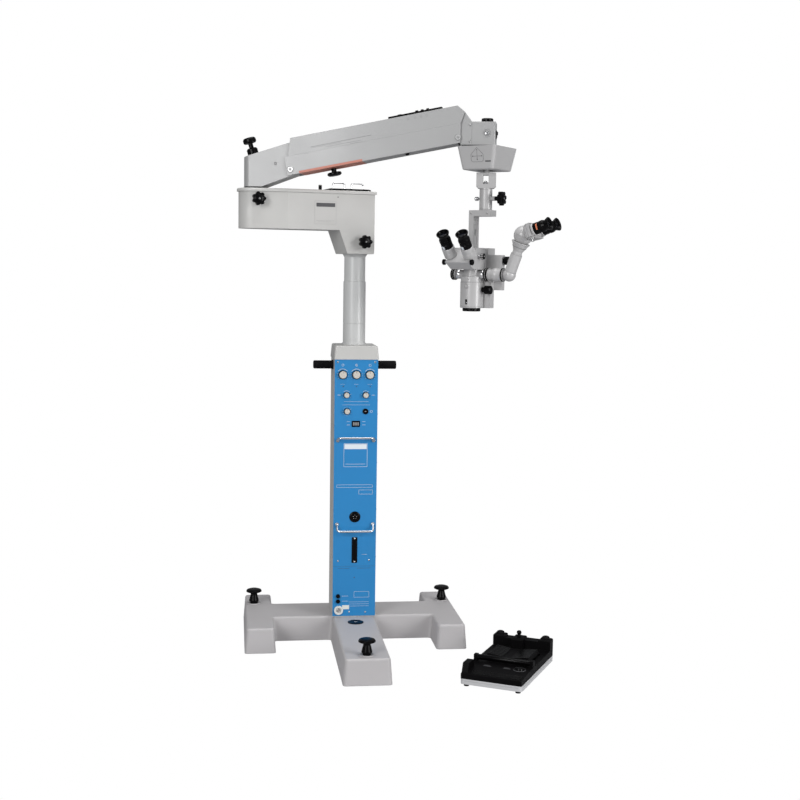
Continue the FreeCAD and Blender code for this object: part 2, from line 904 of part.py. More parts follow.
def make_sockets():
    face = -s.column_front
    deep = s.fitting_depth
    low = s.panel_bottom
    ring = s.lamp_socket_radius
    lamp_socket = turned("lamp_socket", [
        (0, 0), (ring, 0), (ring, deep), (ring * 0.6, deep * 1.3), (ring * 0.55, deep * 0.7), (0, deep * 0.7)],
        s.lamp_socket_side, face, s.selector_row, along_front)
    ring = s.cable_socket_radius
    depth = s.cable_socket_depth
    cable_socket = turned("cable_socket", [
        (0, 0), (ring, 0), (ring, depth * 0.6), (ring * 0.76, depth), (ring * 0.67, depth * 0.4),
        (0, depth * 0.4)], 0, face, low + s.cable_socket_rise, along_front)
    half = s.counter_width / 2
    middle = s.column_top - s.counter_drop
    counter = box("hour_counter", (-half, half), (face - deep, face),
                  (middle - s.counter_height / 2, middle + s.counter_height / 2))
    half = s.slot_strip_width / 2
    foot = low + s.slot_strip_rise
    vent = box("slot_strip", (-half, half), (face - deep, face), (foot, foot + s.slot_strip_height))
    ring = s.fuse_radius
    depth = s.fuse_depth
    fuses = [turned("fuse_holder%d" % index, [
        (0, 0), (ring, 0), (ring, depth * 0.6), (ring * 0.75, depth), (0, depth)],
        -s.fuse_side, face, low + s.fuse_rise + s.fuse_pitch * index, along_front) for index in range(2)]
    ring = s.inlet_radius
    depth = s.inlet_depth
    inlet = turned("mains_inlet", [
        (0, 0), (ring, 0), (ring, depth * 0.75), (ring * 0.85, depth), (s.inlet_bore, depth),
        (s.inlet_bore, depth * 0.4), (0, depth * 0.4)], -s.inlet_side, face, low + s.inlet_rise, along_front)
    node("panel_sockets", grouped("panel_sockets", lamp_socket, cable_socket, counter, vent, inlet, *fuses))


def bent_handle(name, span, reach, rise, radius, place):
    """A rod that leaves its two feet, turns through two round corners and joins them."""
    half = number(span) / 2
    out = number(reach)
    up = number(rise)
    bend = out * 0.45
    lean = Vector(0, -out, up)
    lean.normalize()
    length = math.hypot(out, up)
    clear = lean * (number(radius) * abs(up) / max(out, 0.001))
    left_foot = Vector(-half, 0, 0) + clear
    left_rise = Vector(-half, 0, 0) + lean * (length - bend)
    left_bar = Vector(-half, 0, 0) + lean * length + Vector(bend, 0, 0)
    right_bar = Vector(-left_bar.x, left_bar.y, left_bar.z)
    right_rise = Vector(-left_rise.x, left_rise.y, left_rise.z)
    corner = math.sqrt(0.5) * bend
    left_mid = left_rise + lean * corner + Vector(bend - corner, 0, 0)
    right_mid = Vector(-left_mid.x, left_mid.y, left_mid.z)
    path = Part.Wire([
        Part.LineSegment(left_foot, left_rise).toShape(),
        Part.Arc(left_rise, left_mid, left_bar).toShape(),
        Part.LineSegment(left_bar, right_bar).toShape(),
        Part.Arc(right_bar, right_mid, right_rise).toShape(),
        Part.LineSegment(right_rise, Vector(half, clear.y, clear.z)).toShape()])
    ring = Part.Wire([Part.makeCircle(number(radius), left_foot, lean)])
    obj = doc.addObject("Part::Feature", name)
    obj.Shape = path.makePipeShell([ring], True, False)
    obj.Placement = place
    return obj


def make_rack_handles():
    handles = []
    for name, height, rise in (("upper_rack_handle", s.upper_handle_height, s.rack_handle_rise),
                               ("lower_rack_handle", s.lower_handle_height, -s.rack_handle_rise * 2)):
        place = Placement(Vector(0, -number(s.column_front), number(height)), Rotation())
        bar = bent_handle(name, s.rack_handle_span, s.rack_handle_reach, rise, s.rack_handle_rod, place)
        feet = [rod(name + side, s.rack_handle_rod * 1.6, s.rack_foot_height,
                    s.rack_handle_span / 2 * sign, -s.column_front, height, along_front)
                for side, sign in (("_left_foot", -1), ("_right_foot", 1))]
        handles.append(joined(name + "_whole", bar, *feet))
    node("rack_handles", grouped("rack_handles", *handles))


# Lower swing arm

def nose_outline(grow):
    """Plan of the arm: square at the column, its sides drawn in to a round nose at the far pivot."""
    reach = s.arm_reach
    radius = s.arm_nose_radius + grow
    half = s.arm_half_depth + grow
    taper = reach - s.arm_taper_start
    distance = root(taper * taper + half * half)
    turn = angle_of(taper, half) + angle_of(radius, root(distance * distance - radius * radius))
    side_x = -reach + radius * cosine(turn)
    side_y = radius * sine(turn)
    return [(s.arm_right + grow, -half), (s.arm_right + grow, half), (-s.arm_taper_start, half),
            (side_x, side_y, radius), (-reach - radius, zero, radius), (side_x, -side_y),
            (-s.arm_taper_start, -half)]


def make_lower_arm():
    plan = plate("arm_plan", nose_outline(zero), s.tube_top, s.arm_top)
    collar = s.tube_top + s.collar_height + s.seat
    side = slab("arm_side", [
        (-s.arm_reach - s.arm_nose_radius * 2, s.arm_bottom), (-s.neck_top_left, s.arm_bottom),
        (-s.neck_bottom_left, collar), (s.arm_right - 2, collar), (s.arm_right * 2, s.arm_top),
        (-s.arm_reach - s.arm_nose_radius * 2, s.arm_top)], -s.arm_half_depth * 2, s.arm_half_depth * 2)
    body = doc.addObject("Part::MultiCommon", "arm_solid")
    body.Shapes = [plan, side]
    wall = s.arm_wall
    seat_depth = s.star_seat_depth
    bosses = [rod(name, s.star_stem * 1.3, seat_depth + s.star_boss, x, seat_depth - front, height, along_front)
              for name, x, front, height in (
                  ("swing_boss", -s.arm_reach, s.arm_nose_radius, s.swing_star_height),
                  ("column_boss", s.column_star_side, s.arm_half_depth, s.column_star_height))]
    rim = s.drawer_rim - s.drawer_gap
    across = (-s.drawer_left + rim, s.drawer_right - rim)
    along = (-s.drawer_half_depth + rim, s.drawer_half_depth - rim)
    lid_top = s.arm_top + s.cover_height
    well = box("drawer_well", across, along, (lid_top - s.drawer_drop - s.drawer_gap, lid_top * 1.01))
    pocket = box("arm_pocket", (-s.arm_taper_start, -s.drawer_left - wall),
                 (-s.arm_half_depth + wall, s.arm_half_depth - wall), (s.arm_bottom + wall, s.arm_top * 1.01))
    bearing = rod("column_bearing", s.spigot_radius + s.fit, s.spigot_height + 1, 0, 0, s.tube_top)
    bearing_top = rod("column_bearing_top", s.spigot_radius + s.fit, s.collar_height + 2, 0, 0,
                      s.tube_top + s.spigot_height)
    king = rod("king_pin_bore", s.king_pin_radius + s.fit, s.arm_top - s.arm_bottom, -s.arm_reach, 0,
               s.arm_top + s.cover_height - s.king_pin_length - 2)
    solid = joined("arm_bossed", body, *bosses)
    tools = [well, pocket, bearing, bearing_top, king] + star_stem_holes()
    node("lower_arm_housing", carved("lower_arm_housing", solid, *tools), arm_frame)
    lid = plate("arm_lid", nose_outline(s.cover_lip), s.arm_top, s.arm_top + s.cover_height)
    soften(lid, s.arm_round, at_height(s.cover_height))
    lid_king = rod("lid_king_bore", s.king_pin_radius + s.fit, s.cover_height * 2, -s.arm_reach, 0, s.arm_top)
    lid_well = box("lid_well", across, along, (s.arm_top, lid_top * 1.01))
    peg = rod("cover_peg", s.peg_radius, s.peg_height + s.cover_height / 2, -s.peg_reach, -s.peg_front,
              s.arm_top + s.cover_height / 2)
    open_lid = carved("lid_open", lid, lid_king, lid_well)
    node("lower_arm_cover", joined("lower_arm_cover", open_lid, peg), arm_frame)


def star_stem_holes():
    depth = s.arm_nose_radius
    return [rod("swing_star_hole", s.star_stem / 2 + s.fit, depth, -s.arm_reach,
                -s.arm_nose_radius + s.star_seat_depth * 2, s.swing_star_height, along_front),
            rod("column_star_hole", s.star_stem / 2 + s.fit, depth, s.column_star_side,
                -s.arm_half_depth + s.star_seat_depth * 2, s.column_star_height, along_front)]


def make_arm_stars():
    for label, x, front, height in (
            ("swing_clamp_knob", -s.arm_reach, s.arm_nose_radius, s.swing_star_height),
            ("column_clamp_knob", s.column_star_side, s.arm_half_depth, s.column_star_height)):
        face = -front - s.star_boss - s.seat
        knob = star_knob(label + "_star", x, face, height, along_front)
        stem = rod(label + "_stem", s.star_stem / 2, 20, x, face + 20, height, along_front)
        node(label, joined(label, knob, stem), arm_frame)


def make_drawer():
    top = s.arm_top + s.cover_height
    left = -s.drawer_left
    right = s.drawer_right
    half = s.drawer_half_depth
    rim = s.drawer_rim
    lid = box("drawer_lid", (left, right), (-half, half), (top, top + s.drawer_plate))
    body = box("drawer_body", (left + rim, right - rim), (-half + rim, half - rim),
               (top - s.drawer_drop, top))
    handles = []
    first = left + s.wire_handle_margin + s.wire_handle_span / 2
    for index, x in enumerate((first, first + s.wire_handle_pitch)):
        place = Placement(Vector(number(x), -number(s.wire_handle_front), number(top + s.drawer_plate)),
                          Rotation(Vector(1, 0, 0), -90))
        handles.append(bent_handle("wire_handle%d" % index, s.wire_handle_span, s.wire_handle_rise, 0,
                                   s.wire_radius, place))
    node("lamp_drawer", joined("lamp_drawer", lid, body, *handles), arm_frame)


# Upper arm

def make_rear_block():
    half = s.block_half_depth
    low = s.block_bottom
    pivot_x = s.rear_pivot_reach
    pivot_z = s.rear_pivot_height
    blank = slab("rear_block_blank", [
        (-s.block_left, low), (42, low), (pivot_x + 16, pivot_z - 17), (s.block_right, pivot_z - 6),
        (s.block_right, pivot_z + s.link_rise + 18), (s.block_slope_end, s.block_slope_top),
        (-s.block_left, s.block_left_top)], -half, half)
    soften(blank, s.arm_nose_radius * 0.45,
           lambda edge: upright(edge) and edge.CenterOfMass.x < -number(s.block_left) + 1)
    disc = rod("turntable_disc", s.disc_radius, s.disc_height - s.seat, 0, 0, low - s.disc_height + s.seat)
    pin = rod("king_pin", s.king_pin_radius, s.king_pin_length, 0, 0, low - s.king_pin_length)
    slot = box("rear_slot", (pivot_x - 15, pivot_x * 2), (-s.slot_half_depth, s.slot_half_depth),
               (pivot_z + s.link_rise - 17, pivot_z + s.link_rise + 60))
    pivot = rod("rear_pivot_bore", s.pivot_pin_radius + s.fit, half * 4, pivot_x, half * 2, pivot_z,
                along_front)
    link_bore = rod("rear_link_bore", s.link_pin_radius + s.fit, half * 4, pivot_x, half * 2,
                    pivot_z + s.link_rise, along_front)
    slope = Rotation(Vector(0, 1, 0), -math.degrees(math.atan2(
        number(s.block_slope_top - s.block_left_top), number(s.block_slope_end + s.block_left))))
    depth = s.balance_stem_depth
    knob_foot = balance_seat() - depth
    seat_bore = rod("balance_bore", s.balance_stem + s.fit, depth * 3, s.balance_side, 0, knob_foot, slope)
    solid = joined("rear_block_solid", blank, disc, pin)
    node("arm_rear_block", carved("arm_rear_block", solid, slot, pivot, link_bore, seat_bore), upper_frame)
    radius = s.balance_knob_radius
    collar = s.balance_collar_radius
    neck = s.balance_neck_radius
    stem = s.balance_stem
    rest = depth + s.seat
    collar_top = rest + s.balance_collar_height
    cap_low = collar_top + s.balance_neck_height
    cap_top = cap_low + s.balance_cap_height
    knob = turned("balance_knob", [
        (0, depth * 0.2), (stem, depth * 0.2), (stem, rest), (collar, rest), (collar, collar_top - 4),
        (collar * 0.8, collar_top), (neck, collar_top), (neck, cap_low), (radius * 0.9, cap_low),
        (radius, cap_low + 4), (radius, cap_top - 5), (radius * 0.85, cap_top), (0, cap_top)],
        s.balance_side, 0, knob_foot, slope)
    node("balance_knob", knob, upper_frame)


def balance_seat():
    rise = (s.block_slope_top - s.block_left_top) / (s.block_slope_end + s.block_left)
    return s.block_left_top + (s.block_left + s.balance_side) * rise


def casing_channel(name, low, high, left_low, left_high, right_low, right_high, floor_left, floor_right, top):
    """Two side walls joined by a floor or by a top, open at both ends."""
    half = s.casing_half_depth
    wall = s.casing_wall
    sides = [slab(name + side, [(left_low, low), (right_low, low), (right_high, high), (left_high, high)],
                  front, front + wall) for side, front in (("_near_wall", -half), ("_far_wall", half - wall))]
    level = high - wall if top else low
    web = box(name + "_web", (floor_left, floor_right), (-half, half), (level, level + wall))
    return joined(name + "_channel", *sides, web)


def make_casing():
    length = s.pivot_distance
    low = -s.casing_below
    seam = s.casing_seam
    high = s.casing_above
    half = s.casing_half_depth
    lower = casing_channel("casing", low, seam, Size(-14, "-14"), Size(-14, "-14"), length + 5, length + 18,
                           Size(28, "28"), length - 6, False)
    bores = [rod("casing_bore%d" % index, s.pivot_pin_radius, half * 4, x, half * 2, 0, along_front)
             for index, x in enumerate((zero, length))]
    brake_bore = rod("brake_bore", s.brake_stem + s.fit, half, s.brake_knob_reach, 0, low - half / 2)
    node("arm_casing", carved("arm_casing", lower, *bores, brake_bore), casing_frame)
    cover = casing_channel("cover", seam, high, Size(1, "1"), Size(19, "19"), length + 20, length + 17,
                           Size(19, "19"), length + 17, True)
    tail = slab("cover_tail", [(length + 19, seam + s.seat), (length + 39, high - 26), (length + 17, high)],
                -half, -half + s.casing_wall)
    far_tail = slab("cover_far_tail", [(length + 19, seam + s.seat), (length + 39, high - 26),
                                       (length + 17, high)], half - s.casing_wall, half)
    node("arm_top_cover", joined("arm_top_cover", cover, tail, far_tail), casing_frame)
    deep = s.strip_half_depth
    strip = plate("strip_plate", [(s.strip_start, -deep), (s.strip_end, -deep), (s.strip_end, deep),
                                  (s.strip_start, deep)], high, high + s.strip_height)
    soften(strip, s.strip_height * 0.4, at_height(s.strip_height))
    lamps = [rod("strip_lamp%d" % index, s.strip_lamp_radius, s.strip_lamp_height + s.strip_height,
                 s.strip_start + s.strip_lamp_start + s.strip_lamp_pitch * index,
                 -s.strip_half_depth + s.strip_lamp_radius * 2, high) for index in range(3)]
    node("control_strip", joined("control_strip", strip, *lamps), casing_frame)
    pins = []
    for index, x in enumerate((zero, length)):
        pins.append(joined("pivot_pin%d" % index, rod(
            "pin_shank%d" % index, s.pivot_pin_radius, half * 2, x, half, 0, along_front), rod(
            "pin_head%d" % index, s.pivot_head_radius, s.pivot_head_height, x, -half, 0, along_front), rod(
            "pin_tail%d" % index, s.pivot_head_radius, s.pivot_head_height, x, half, 0, along_rear)))
    node("pivot_pins", grouped("pivot_pins", *pins), casing_frame)
    radius = s.brake_knob_radius
    drop = s.brake_knob_drop
    stem = s.brake_stem
    knob = turned("tilt_brake_knob", [
        (0, -stem * 2), (stem, -stem * 2), (stem, s.seat), (stem * 1.7, s.seat), (stem * 1.5, drop * 0.4),
        (stem * 1.5, drop * 0.5), (radius * 0.9, drop * 0.55), (radius, drop * 0.65), (radius, drop * 0.85),
        (radius * 0.8, drop), (0, drop)],
        s.brake_knob_reach, 0, low, upside_down)
    node("tilt_brake_knob", knob, casing_frame)
    node("balance_spring", make_spring(low + s.casing_wall), casing_frame)


def make_spring(floor):
    """Coil spring unit of the weight balance: two saddles, a guide rod and the turns round it."""
    start = s.spring_start
    end = s.spring_end
    height = s.spring_height
    radius = s.spring_radius
    saddles = [box("spring_saddle%d" % index, (x, x + 12), (-radius, radius), (floor, height + radius))
               for index, x in enumerate((start, end - 12))]
    guide = rod("spring_guide", radius * 0.5, end - start, start, 0, height, along_x)
    turns = []
    count = 12
    pitch = (end - start - 24) / count
    for index in range(count):
        turns.append(turned("spring_turn%d" % index, [
            (radius * 0.45, pitch * 0.1), (radius * 0.95, pitch * 0.1), (radius * 0.95, pitch * 0.72),
            (radius * 0.45, pitch * 0.72)], start + 12 + pitch * index, 0, height, along_x))
    return joined("balance_spring", *saddles, guide, *turns)


def make_link():
    """Upper bar of the parallelogram, which keeps the head level."""
    lean = number(s.arm_tilt)
    start = Vector(number(s.rear_pivot_reach), 0, number(s.rear_pivot_height + s.link_rise))
    link_frame = upper_frame * Placement(start, Rotation(Vector(0, 1, 0), -lean))
    length = s.pivot_distance
    half = s.link_half_height
    deep = s.link_half_depth
    bar = box("link_bar", (zero, length), (-deep, deep), (-half * 0.8, half * 0.8))
    eyes = [rod("link_eye%d" % index, half, deep * 2, x, deep, 0, along_front)
            for index, x in enumerate((zero, length))]
    pin = rod("link_pin", s.link_pin_radius, s.block_half_depth * 2 - 4, 0, s.block_half_depth - 2, 0,
              along_front)
    far_bore = rod("link_far_bore", s.link_pin_radius + s.seat, deep * 4, length, deep * 2, 0, along_front)
    link = carved("level_link", joined("link_solid", bar, pin, *eyes), far_bore)
    node("level_link", link, link_frame)


def make_front_housing():
    half = s.housing_half_depth
    pivot_x = s.front_pivot_reach
    pivot_z = s.front_pivot_height
    low = s.housing_bottom
    left = s.housing_left
    cheek = slab("front_cheek", [
        (pivot_x + 9, low), (left, low), (left, s.housing_top), (pivot_x + 23, s.housing_top + 33),
        (pivot_x - 12, pivot_z + 88), (pivot_x - 16, pivot_z + 60), (pivot_x - 16, pivot_z),
        (pivot_x - 11, pivot_z - 12), (pivot_x + 6, pivot_z - 15)], -half, half)
    block = plate("front_block", [(left, -half), (s.housing_right, -half), (s.housing_right, half),
                                  (left, half)],
                  low, s.housing_top)
    soften(block, s.arm_round, lambda edge: upright(edge) and edge.CenterOfMass.x > number(left) + 1)
    slot = box("front_slot", (pivot_x - 30, pivot_x + 14), (-s.slot_half_depth, s.slot_half_depth),
               (pivot_z + s.link_rise - 26, pivot_z + s.link_rise + 17))
    pivot = rod("front_pivot_bore", s.pivot_pin_radius + s.fit, half * 4, pivot_x, half * 2, pivot_z,
                along_front)
    spindle = rod("head_pin_bore", s.head_pin_radius + s.fit, s.head_pin_length + 4, s.head_reach, 0, low - 1)
    knob_bore = rod("front_knob_bore", 5 + s.fit, 40, s.head_reach, 0, s.housing_top - 15)
    recess = rod("button_recess", s.front_button_radius * 1.8, 2, s.head_reach + 2, -half + 2,
                 s.front_button_height, along_front)
    button_bore = rod("button_bore", s.front_button_radius + s.seat, 16, s.head_reach + 2, -half + 14,
                      s.front_button_height, along_front)
    pin = rod("front_link_pin", s.link_pin_radius, s.slot_half_depth * 2 + 8, pivot_x,
              s.slot_half_depth + 4, pivot_z + s.link_rise, along_front)
    shell = carved("front_shell", joined("front_solid", cheek, block), slot, pivot, spindle, knob_bore, recess,
                   button_bore)
    node("front_housing", joined("front_housing", shell, pin), upper_frame)
    radius = s.front_knob_radius
    knob = turned("front_knob", [
        (0, -14), (5, -14), (5, s.seat), (radius * 0.7, s.seat), (radius * 0.7, 3), (radius, 5),
        (radius, s.front_knob_height - 2), (radius * 0.9, s.front_knob_height), (0, s.front_knob_height)],
        s.head_reach, 0, s.housing_top)
    node("head_clamp_knob", knob, upper_frame)
    button = turned("front_button", [
        (0, 0), (s.front_button_radius, 0), (s.front_button_radius, 9), (s.front_button_radius * 0.8, 11),
        (0, 11.5)], s.head_reach + 2, -half + 8, s.front_button_height, along_front)
    node("front_button", button, upper_frame)


# Cross-slide head

def make_cross_head():
    width = s.box_half_width
    low = s.box_top - s.box_height
    case = plate("cross_case", [(-width, -s.box_front), (width, -s.box_front), (width, s.box_rear),
                                (-width, s.box_rear)], zero, s.box_height, s.box_draft)
    soften(case, s.arm_round * 2.4, upright)
    soften(case, s.arm_round * 1.2, at_height(s.box_height))
    case.Placement = Placement(Vector(), upside_down)
    case.setExpression("Placement.Base.z", formula(s.box_top))
    case.setExpression("Placement.Base.y", formula(s.box_rear - s.box_front))
    floor = low + s.cavity_floor
    cavity = box("cross_cavity", (-s.cavity_half_width, s.cavity_half_width),
                 (-s.cavity_half_depth, s.cavity_half_depth), (floor, floor + s.cavity_height))
    opening = s.post_radius + s.slide_travel + 3
    mouth = box("cross_mouth", (-opening, opening), (-opening, opening), (low - 5, floor + 5))
    pin = rod("head_pin", s.head_pin_radius, s.head_pin_length, 0, 0, s.box_top - 4)
    collar = rod("head_collar", s.head_pin_radius * 1.5, s.housing_bottom - s.box_top - s.seat + 2, 0, 0,
                 s.box_top - 2)
    node("cross_slide_housing", joined("cross_slide_housing", carved("cross_shell", case, cavity, mouth), pin,
                                       collar), head_frame)
    plate_low = floor + s.seat
    half = s.slide_half
    slide = box("x_slide_plate", (-half, half), (-s.cavity_half_depth + s.seat, s.cavity_half_depth - s.seat),
                (plate_low, plate_low + s.slide_height))
    slot = box("x_slide_slot", (-s.post_radius - s.seat, s.post_radius + s.seat),
               (-opening, opening), (plate_low - 2, plate_low + s.slide_height * 2))
    node("x_slide", carved("x_slide", slide, slot), head_frame)


def make_hanger():
    floor = s.box_top - s.box_height + s.cavity_floor
    flange_low = floor + s.slide_height + s.seat * 2
    flange = rod("hanger_flange", s.post_radius * 1.7, s.slide_height, 0, 0, flange_low)
    post = rod("hanger_post", s.post_radius, flange_low + 2 - s.fork_top, 0, 0, s.fork_top)
    half = s.fork_half_width
    cut = half * 0.2
    fork = slab("fork", [
        (-half + cut, s.fork_bottom), (half - cut, s.fork_bottom), (half, s.fork_bottom + cut),
        (half, s.fork_top), (-half, s.fork_top), (-half, s.fork_bottom + cut)],
        -s.fork_half_depth, s.fork_half_depth)
    window = box("fork_window", (-s.fork_window * 0.55, s.fork_window * 0.45),
                 (-s.fork_half_depth * 2, s.fork_half_depth * 2),
                 (s.fork_bottom + s.fork_sill, s.fork_top - s.fork_lintel))
    nut = turned("fork_nut", [(0, 0), (s.fork_window * 0.4, 0), (s.fork_window * 0.4, 6), (0, 8)], 0, 0,
                 s.fork_bottom + s.fork_sill)
    tube = rod("hanger_tube", s.hanger_radius, s.fork_bottom - s.hanger_bottom, 0, 0, s.hanger_bottom)
    socket = rod("stub_socket", s.stub_radius + s.fit, s.stub_length + 2, 0, 0, s.hanger_bottom - 1)
    neck = s.hanger_star_neck
    end = s.hanger_radius + neck
    boss = rod("hanger_star_boss", s.star_stem, end - s.hanger_radius / 2, s.hanger_radius / 2, 0,
               s.hanger_star_height, along_x)
    star_hole = rod("hanger_star_hole", s.star_stem / 2 + s.fit, end, end - neck * 2, 0, s.hanger_star_height,
                    along_x)
    thumb = turned("thumb_screw", [(0, 0), (3, 0), (3, 8), (7, 9), (7, 19), (5, 21), (0, 21)],
                   -s.hanger_radius + 1, 0, s.hanger_star_height, along_minus_x)
    turn_back = Placement(Vector(), heading(s.head_yaw - s.fork_yaw))
    fork_whole = joined("fork_whole", carved("fork_open", fork, window), nut, post, flange)
    fork_whole.Placement = turn_back.inverse()
    solid = joined("hanger_solid", fork_whole, tube, thumb, boss)
    node("suspension_fork", carved("suspension_fork", solid, socket, star_hole), head_frame)
    knob = star_knob("hanger_star", end + s.seat, 0, s.hanger_star_height, along_x)
    stem = rod("hanger_star_stem", s.star_stem / 2, neck * 1.5, end - neck, 0, s.hanger_star_height, along_x)
    node("suspension_star_knob", joined("suspension_star_knob", knob, stem), head_frame)


def make_bracket():
    top = s.hanger_bottom - s.seat
    left = -s.bracket_left
    inner = left + s.bracket_width
    half = s.bracket_half_depth
    low = s.tilt_height
    plate_part = box("bracket_plate", (left, s.bracket_right), (-half, half), (top - s.bracket_plate, top))
    upright_part = box("bracket_upright", (left, inner), (-half, half), (low, top))
    end = rod("bracket_end", half, s.bracket_width, left, 0, low, along_x)
    recess = box("bracket_recess", (inner - 3, inner + 5), (-half * 0.5, half * 0.5),
                 (low + 40, top - s.bracket_plate - 12))
    boss = rod("bracket_boss", half * 0.4, 2.5, inner - 3, 0, top - s.bracket_plate - 37, along_x)
    stub = rod("bracket_stub", s.stub_radius, s.stub_length, 0, 0, top - 1)
    bore = rod("bracket_bore", s.tilt_pin_radius + s.fit, s.bracket_width * 3, left - 5, 0, low, along_x)
    shell = carved("bracket_shell", joined("bracket_solid", plate_part, upright_part, end, stub), recess, bore)
    node("suspension_bracket", joined("suspension_bracket", shell, boss), head_frame)


# Microscope

def make_carrier():
    low = s.tilt_height - s.mount_half_height
    high = s.tilt_height + s.mount_half_height
    inner = -s.bracket_left + s.bracket_width
    block = box("mount_block", (-s.mount_left, s.mount_right), (-s.mount_front, s.mount_rear), (low, high))
    pin = rod("tilt_pin", s.tilt_pin_radius, s.bracket_left + s.mount_right, -s.bracket_left, 0, s.tilt_height,
              along_x)
    hub = rod("tilt_hub", s.mount_rear * 0.8, -s.mount_left - inner - s.seat + 1, inner + s.seat, 0,
              s.tilt_height, along_x)
    face = -s.mount_front
    back = box("carrier_plate", (s.mount_right - 1, s.carrier_right), (face, face + s.carrier_thickness),
               (s.carrier_bottom, s.carrier_top))
    shelf = box("carrier_shelf", (-s.mount_left, s.mount_right), (face, face + s.carrier_thickness),
                (s.carrier_bottom, low + 1))
    bore = rod("focus_bore", 5 + s.fit, 30, s.carrier_right - 25, face + s.carrier_thickness / 2,
               s.focus_knob_height, along_x)
    node("tilt_carrier", carved("tilt_carrier", joined("carrier_solid", block, pin, hub, back, shelf), bore),
         head_frame)
    depth = s.focus_knob_depth
    radius = s.focus_knob_radius
    knob = turned("focus_knob", [
        (0, -20), (5, -20), (5, s.seat), (radius * 0.6, s.seat), (radius * 0.6, 4), (radius, 7),
        (radius, depth), (radius * 0.8, depth + 2), (0, depth + 2)],
        s.carrier_right, face + s.carrier_thickness / 2, s.focus_knob_height, along_x)
    node("focus_knob", knob, head_frame)


def make_scope():
    x = -s.optic_side
    y = -s.optic_front
    low = s.scope_bottom
    top = s.scope_top
    radius = s.scope_radius
    barrel = turned("scope_barrel", [
        (0, low), (radius - 2, low), (radius, low + 2), (radius, top), (0, top)], x, y)
    boss = turned("scope_boss", [(0, 0), (9, 0), (9, 2.5), (7, 4), (0, 4)], x, y - radius + 1, top - 14,
                  along_front)
    block = box("slide_block", (s.slide_block_left, s.slide_block_right), (y + 22, -s.mount_front - s.seat),
                (low, top))
    upper = box("slide_block_top", (s.slide_block_left, s.slide_block_right),
                (y + radius + 1, -s.mount_front - s.seat), (top - 1, top + s.splitter_ledge))
    bore = rod("zoom_bore", 5 + s.fit, 40, x + radius - 22, y, s.zoom_knob_height, along_x)
    recess = rod("objective_seat", s.objective_radius - 2, 8, x, y, low - 1)
    node("microscope_body",
         carved("microscope_body", joined("scope_solid", barrel, boss, block, upper), bore, recess),
         head_frame)
    ring = s.objective_radius
    lens = s.lens_radius
    drop = s.objective_height
    objective = turned("objective", [
        (0, 4 - drop), (lens, 1 - drop), (lens + 2, -drop), (ring - 2, -drop), (ring, 2 - drop), (ring, 0),
        (ring - 2, 0), (ring - 2, 6), (0, 6)], x, y, low)
    node("objective", objective, head_frame)
    knob_radius = s.zoom_knob_radius
    depth = s.zoom_knob_depth
    knob = turned("zoom_knob", [
        (0, -16), (5, -16), (5, 2), (knob_radius * 0.6, 2), (knob_radius * 0.6, 10), (knob_radius, 13),
        (knob_radius, 13 + depth), (knob_radius * 0.8, 15 + depth), (0, 15 + depth)],
        x + radius, y, s.zoom_knob_height, along_x)
    node("magnification_knob", knob, head_frame)


def make_splitter():
    x = -s.optic_side
    y = -s.optic_front
    low = s.scope_top
    ledge = low + s.splitter_ledge
    top = low + s.splitter_height
    radius = s.splitter_radius
    tower = turned("splitter_tower", [
        (0, low), (s.scope_radius - 1, low), (s.scope_radius - 1, ledge - 2), (s.scope_radius - 3, ledge),
        (radius, ledge), (radius, top), (0, top)], x, y)
    left = turned("left_port", [
        (0, 0), (s.port_radius, 0), (s.port_radius, s.left_port_reach - s.ring_width),
        (s.ring_radius, s.left_port_reach - s.ring_width), (s.ring_radius, s.left_port_reach - 2),
        (s.ring_radius - 2, s.left_port_reach), (0, s.left_port_reach)], x, y, s.port_height, along_minus_x)
    reach = s.right_port_reach
    right = turned("right_port", [
        (0, 0), (s.port_radius, 0), (s.port_radius, reach), (s.ring_radius + 3, reach),
        (s.ring_radius + 3, reach + s.ring_width), (0, reach + s.ring_width)], x, y, s.port_height, along_x)
    socket = rod("observer_socket", 9 + s.fit, 14, x + reach + 3, y, s.port_height, along_x)
    node("beam_splitter", carved("beam_splitter", joined("splitter_solid", tower, left, right), socket),
         head_frame)


def face_point(along, above):
    """A point of the binocular's sloping face, as (y, z): a way up the face and a height over it."""
    y = -s.ridge_front + along * sine(s.eye_tilt) - above * cosine(s.eye_tilt)
    z = s.ridge_height + along * cosine(s.eye_tilt) + above * sine(s.eye_tilt)
    return y, z


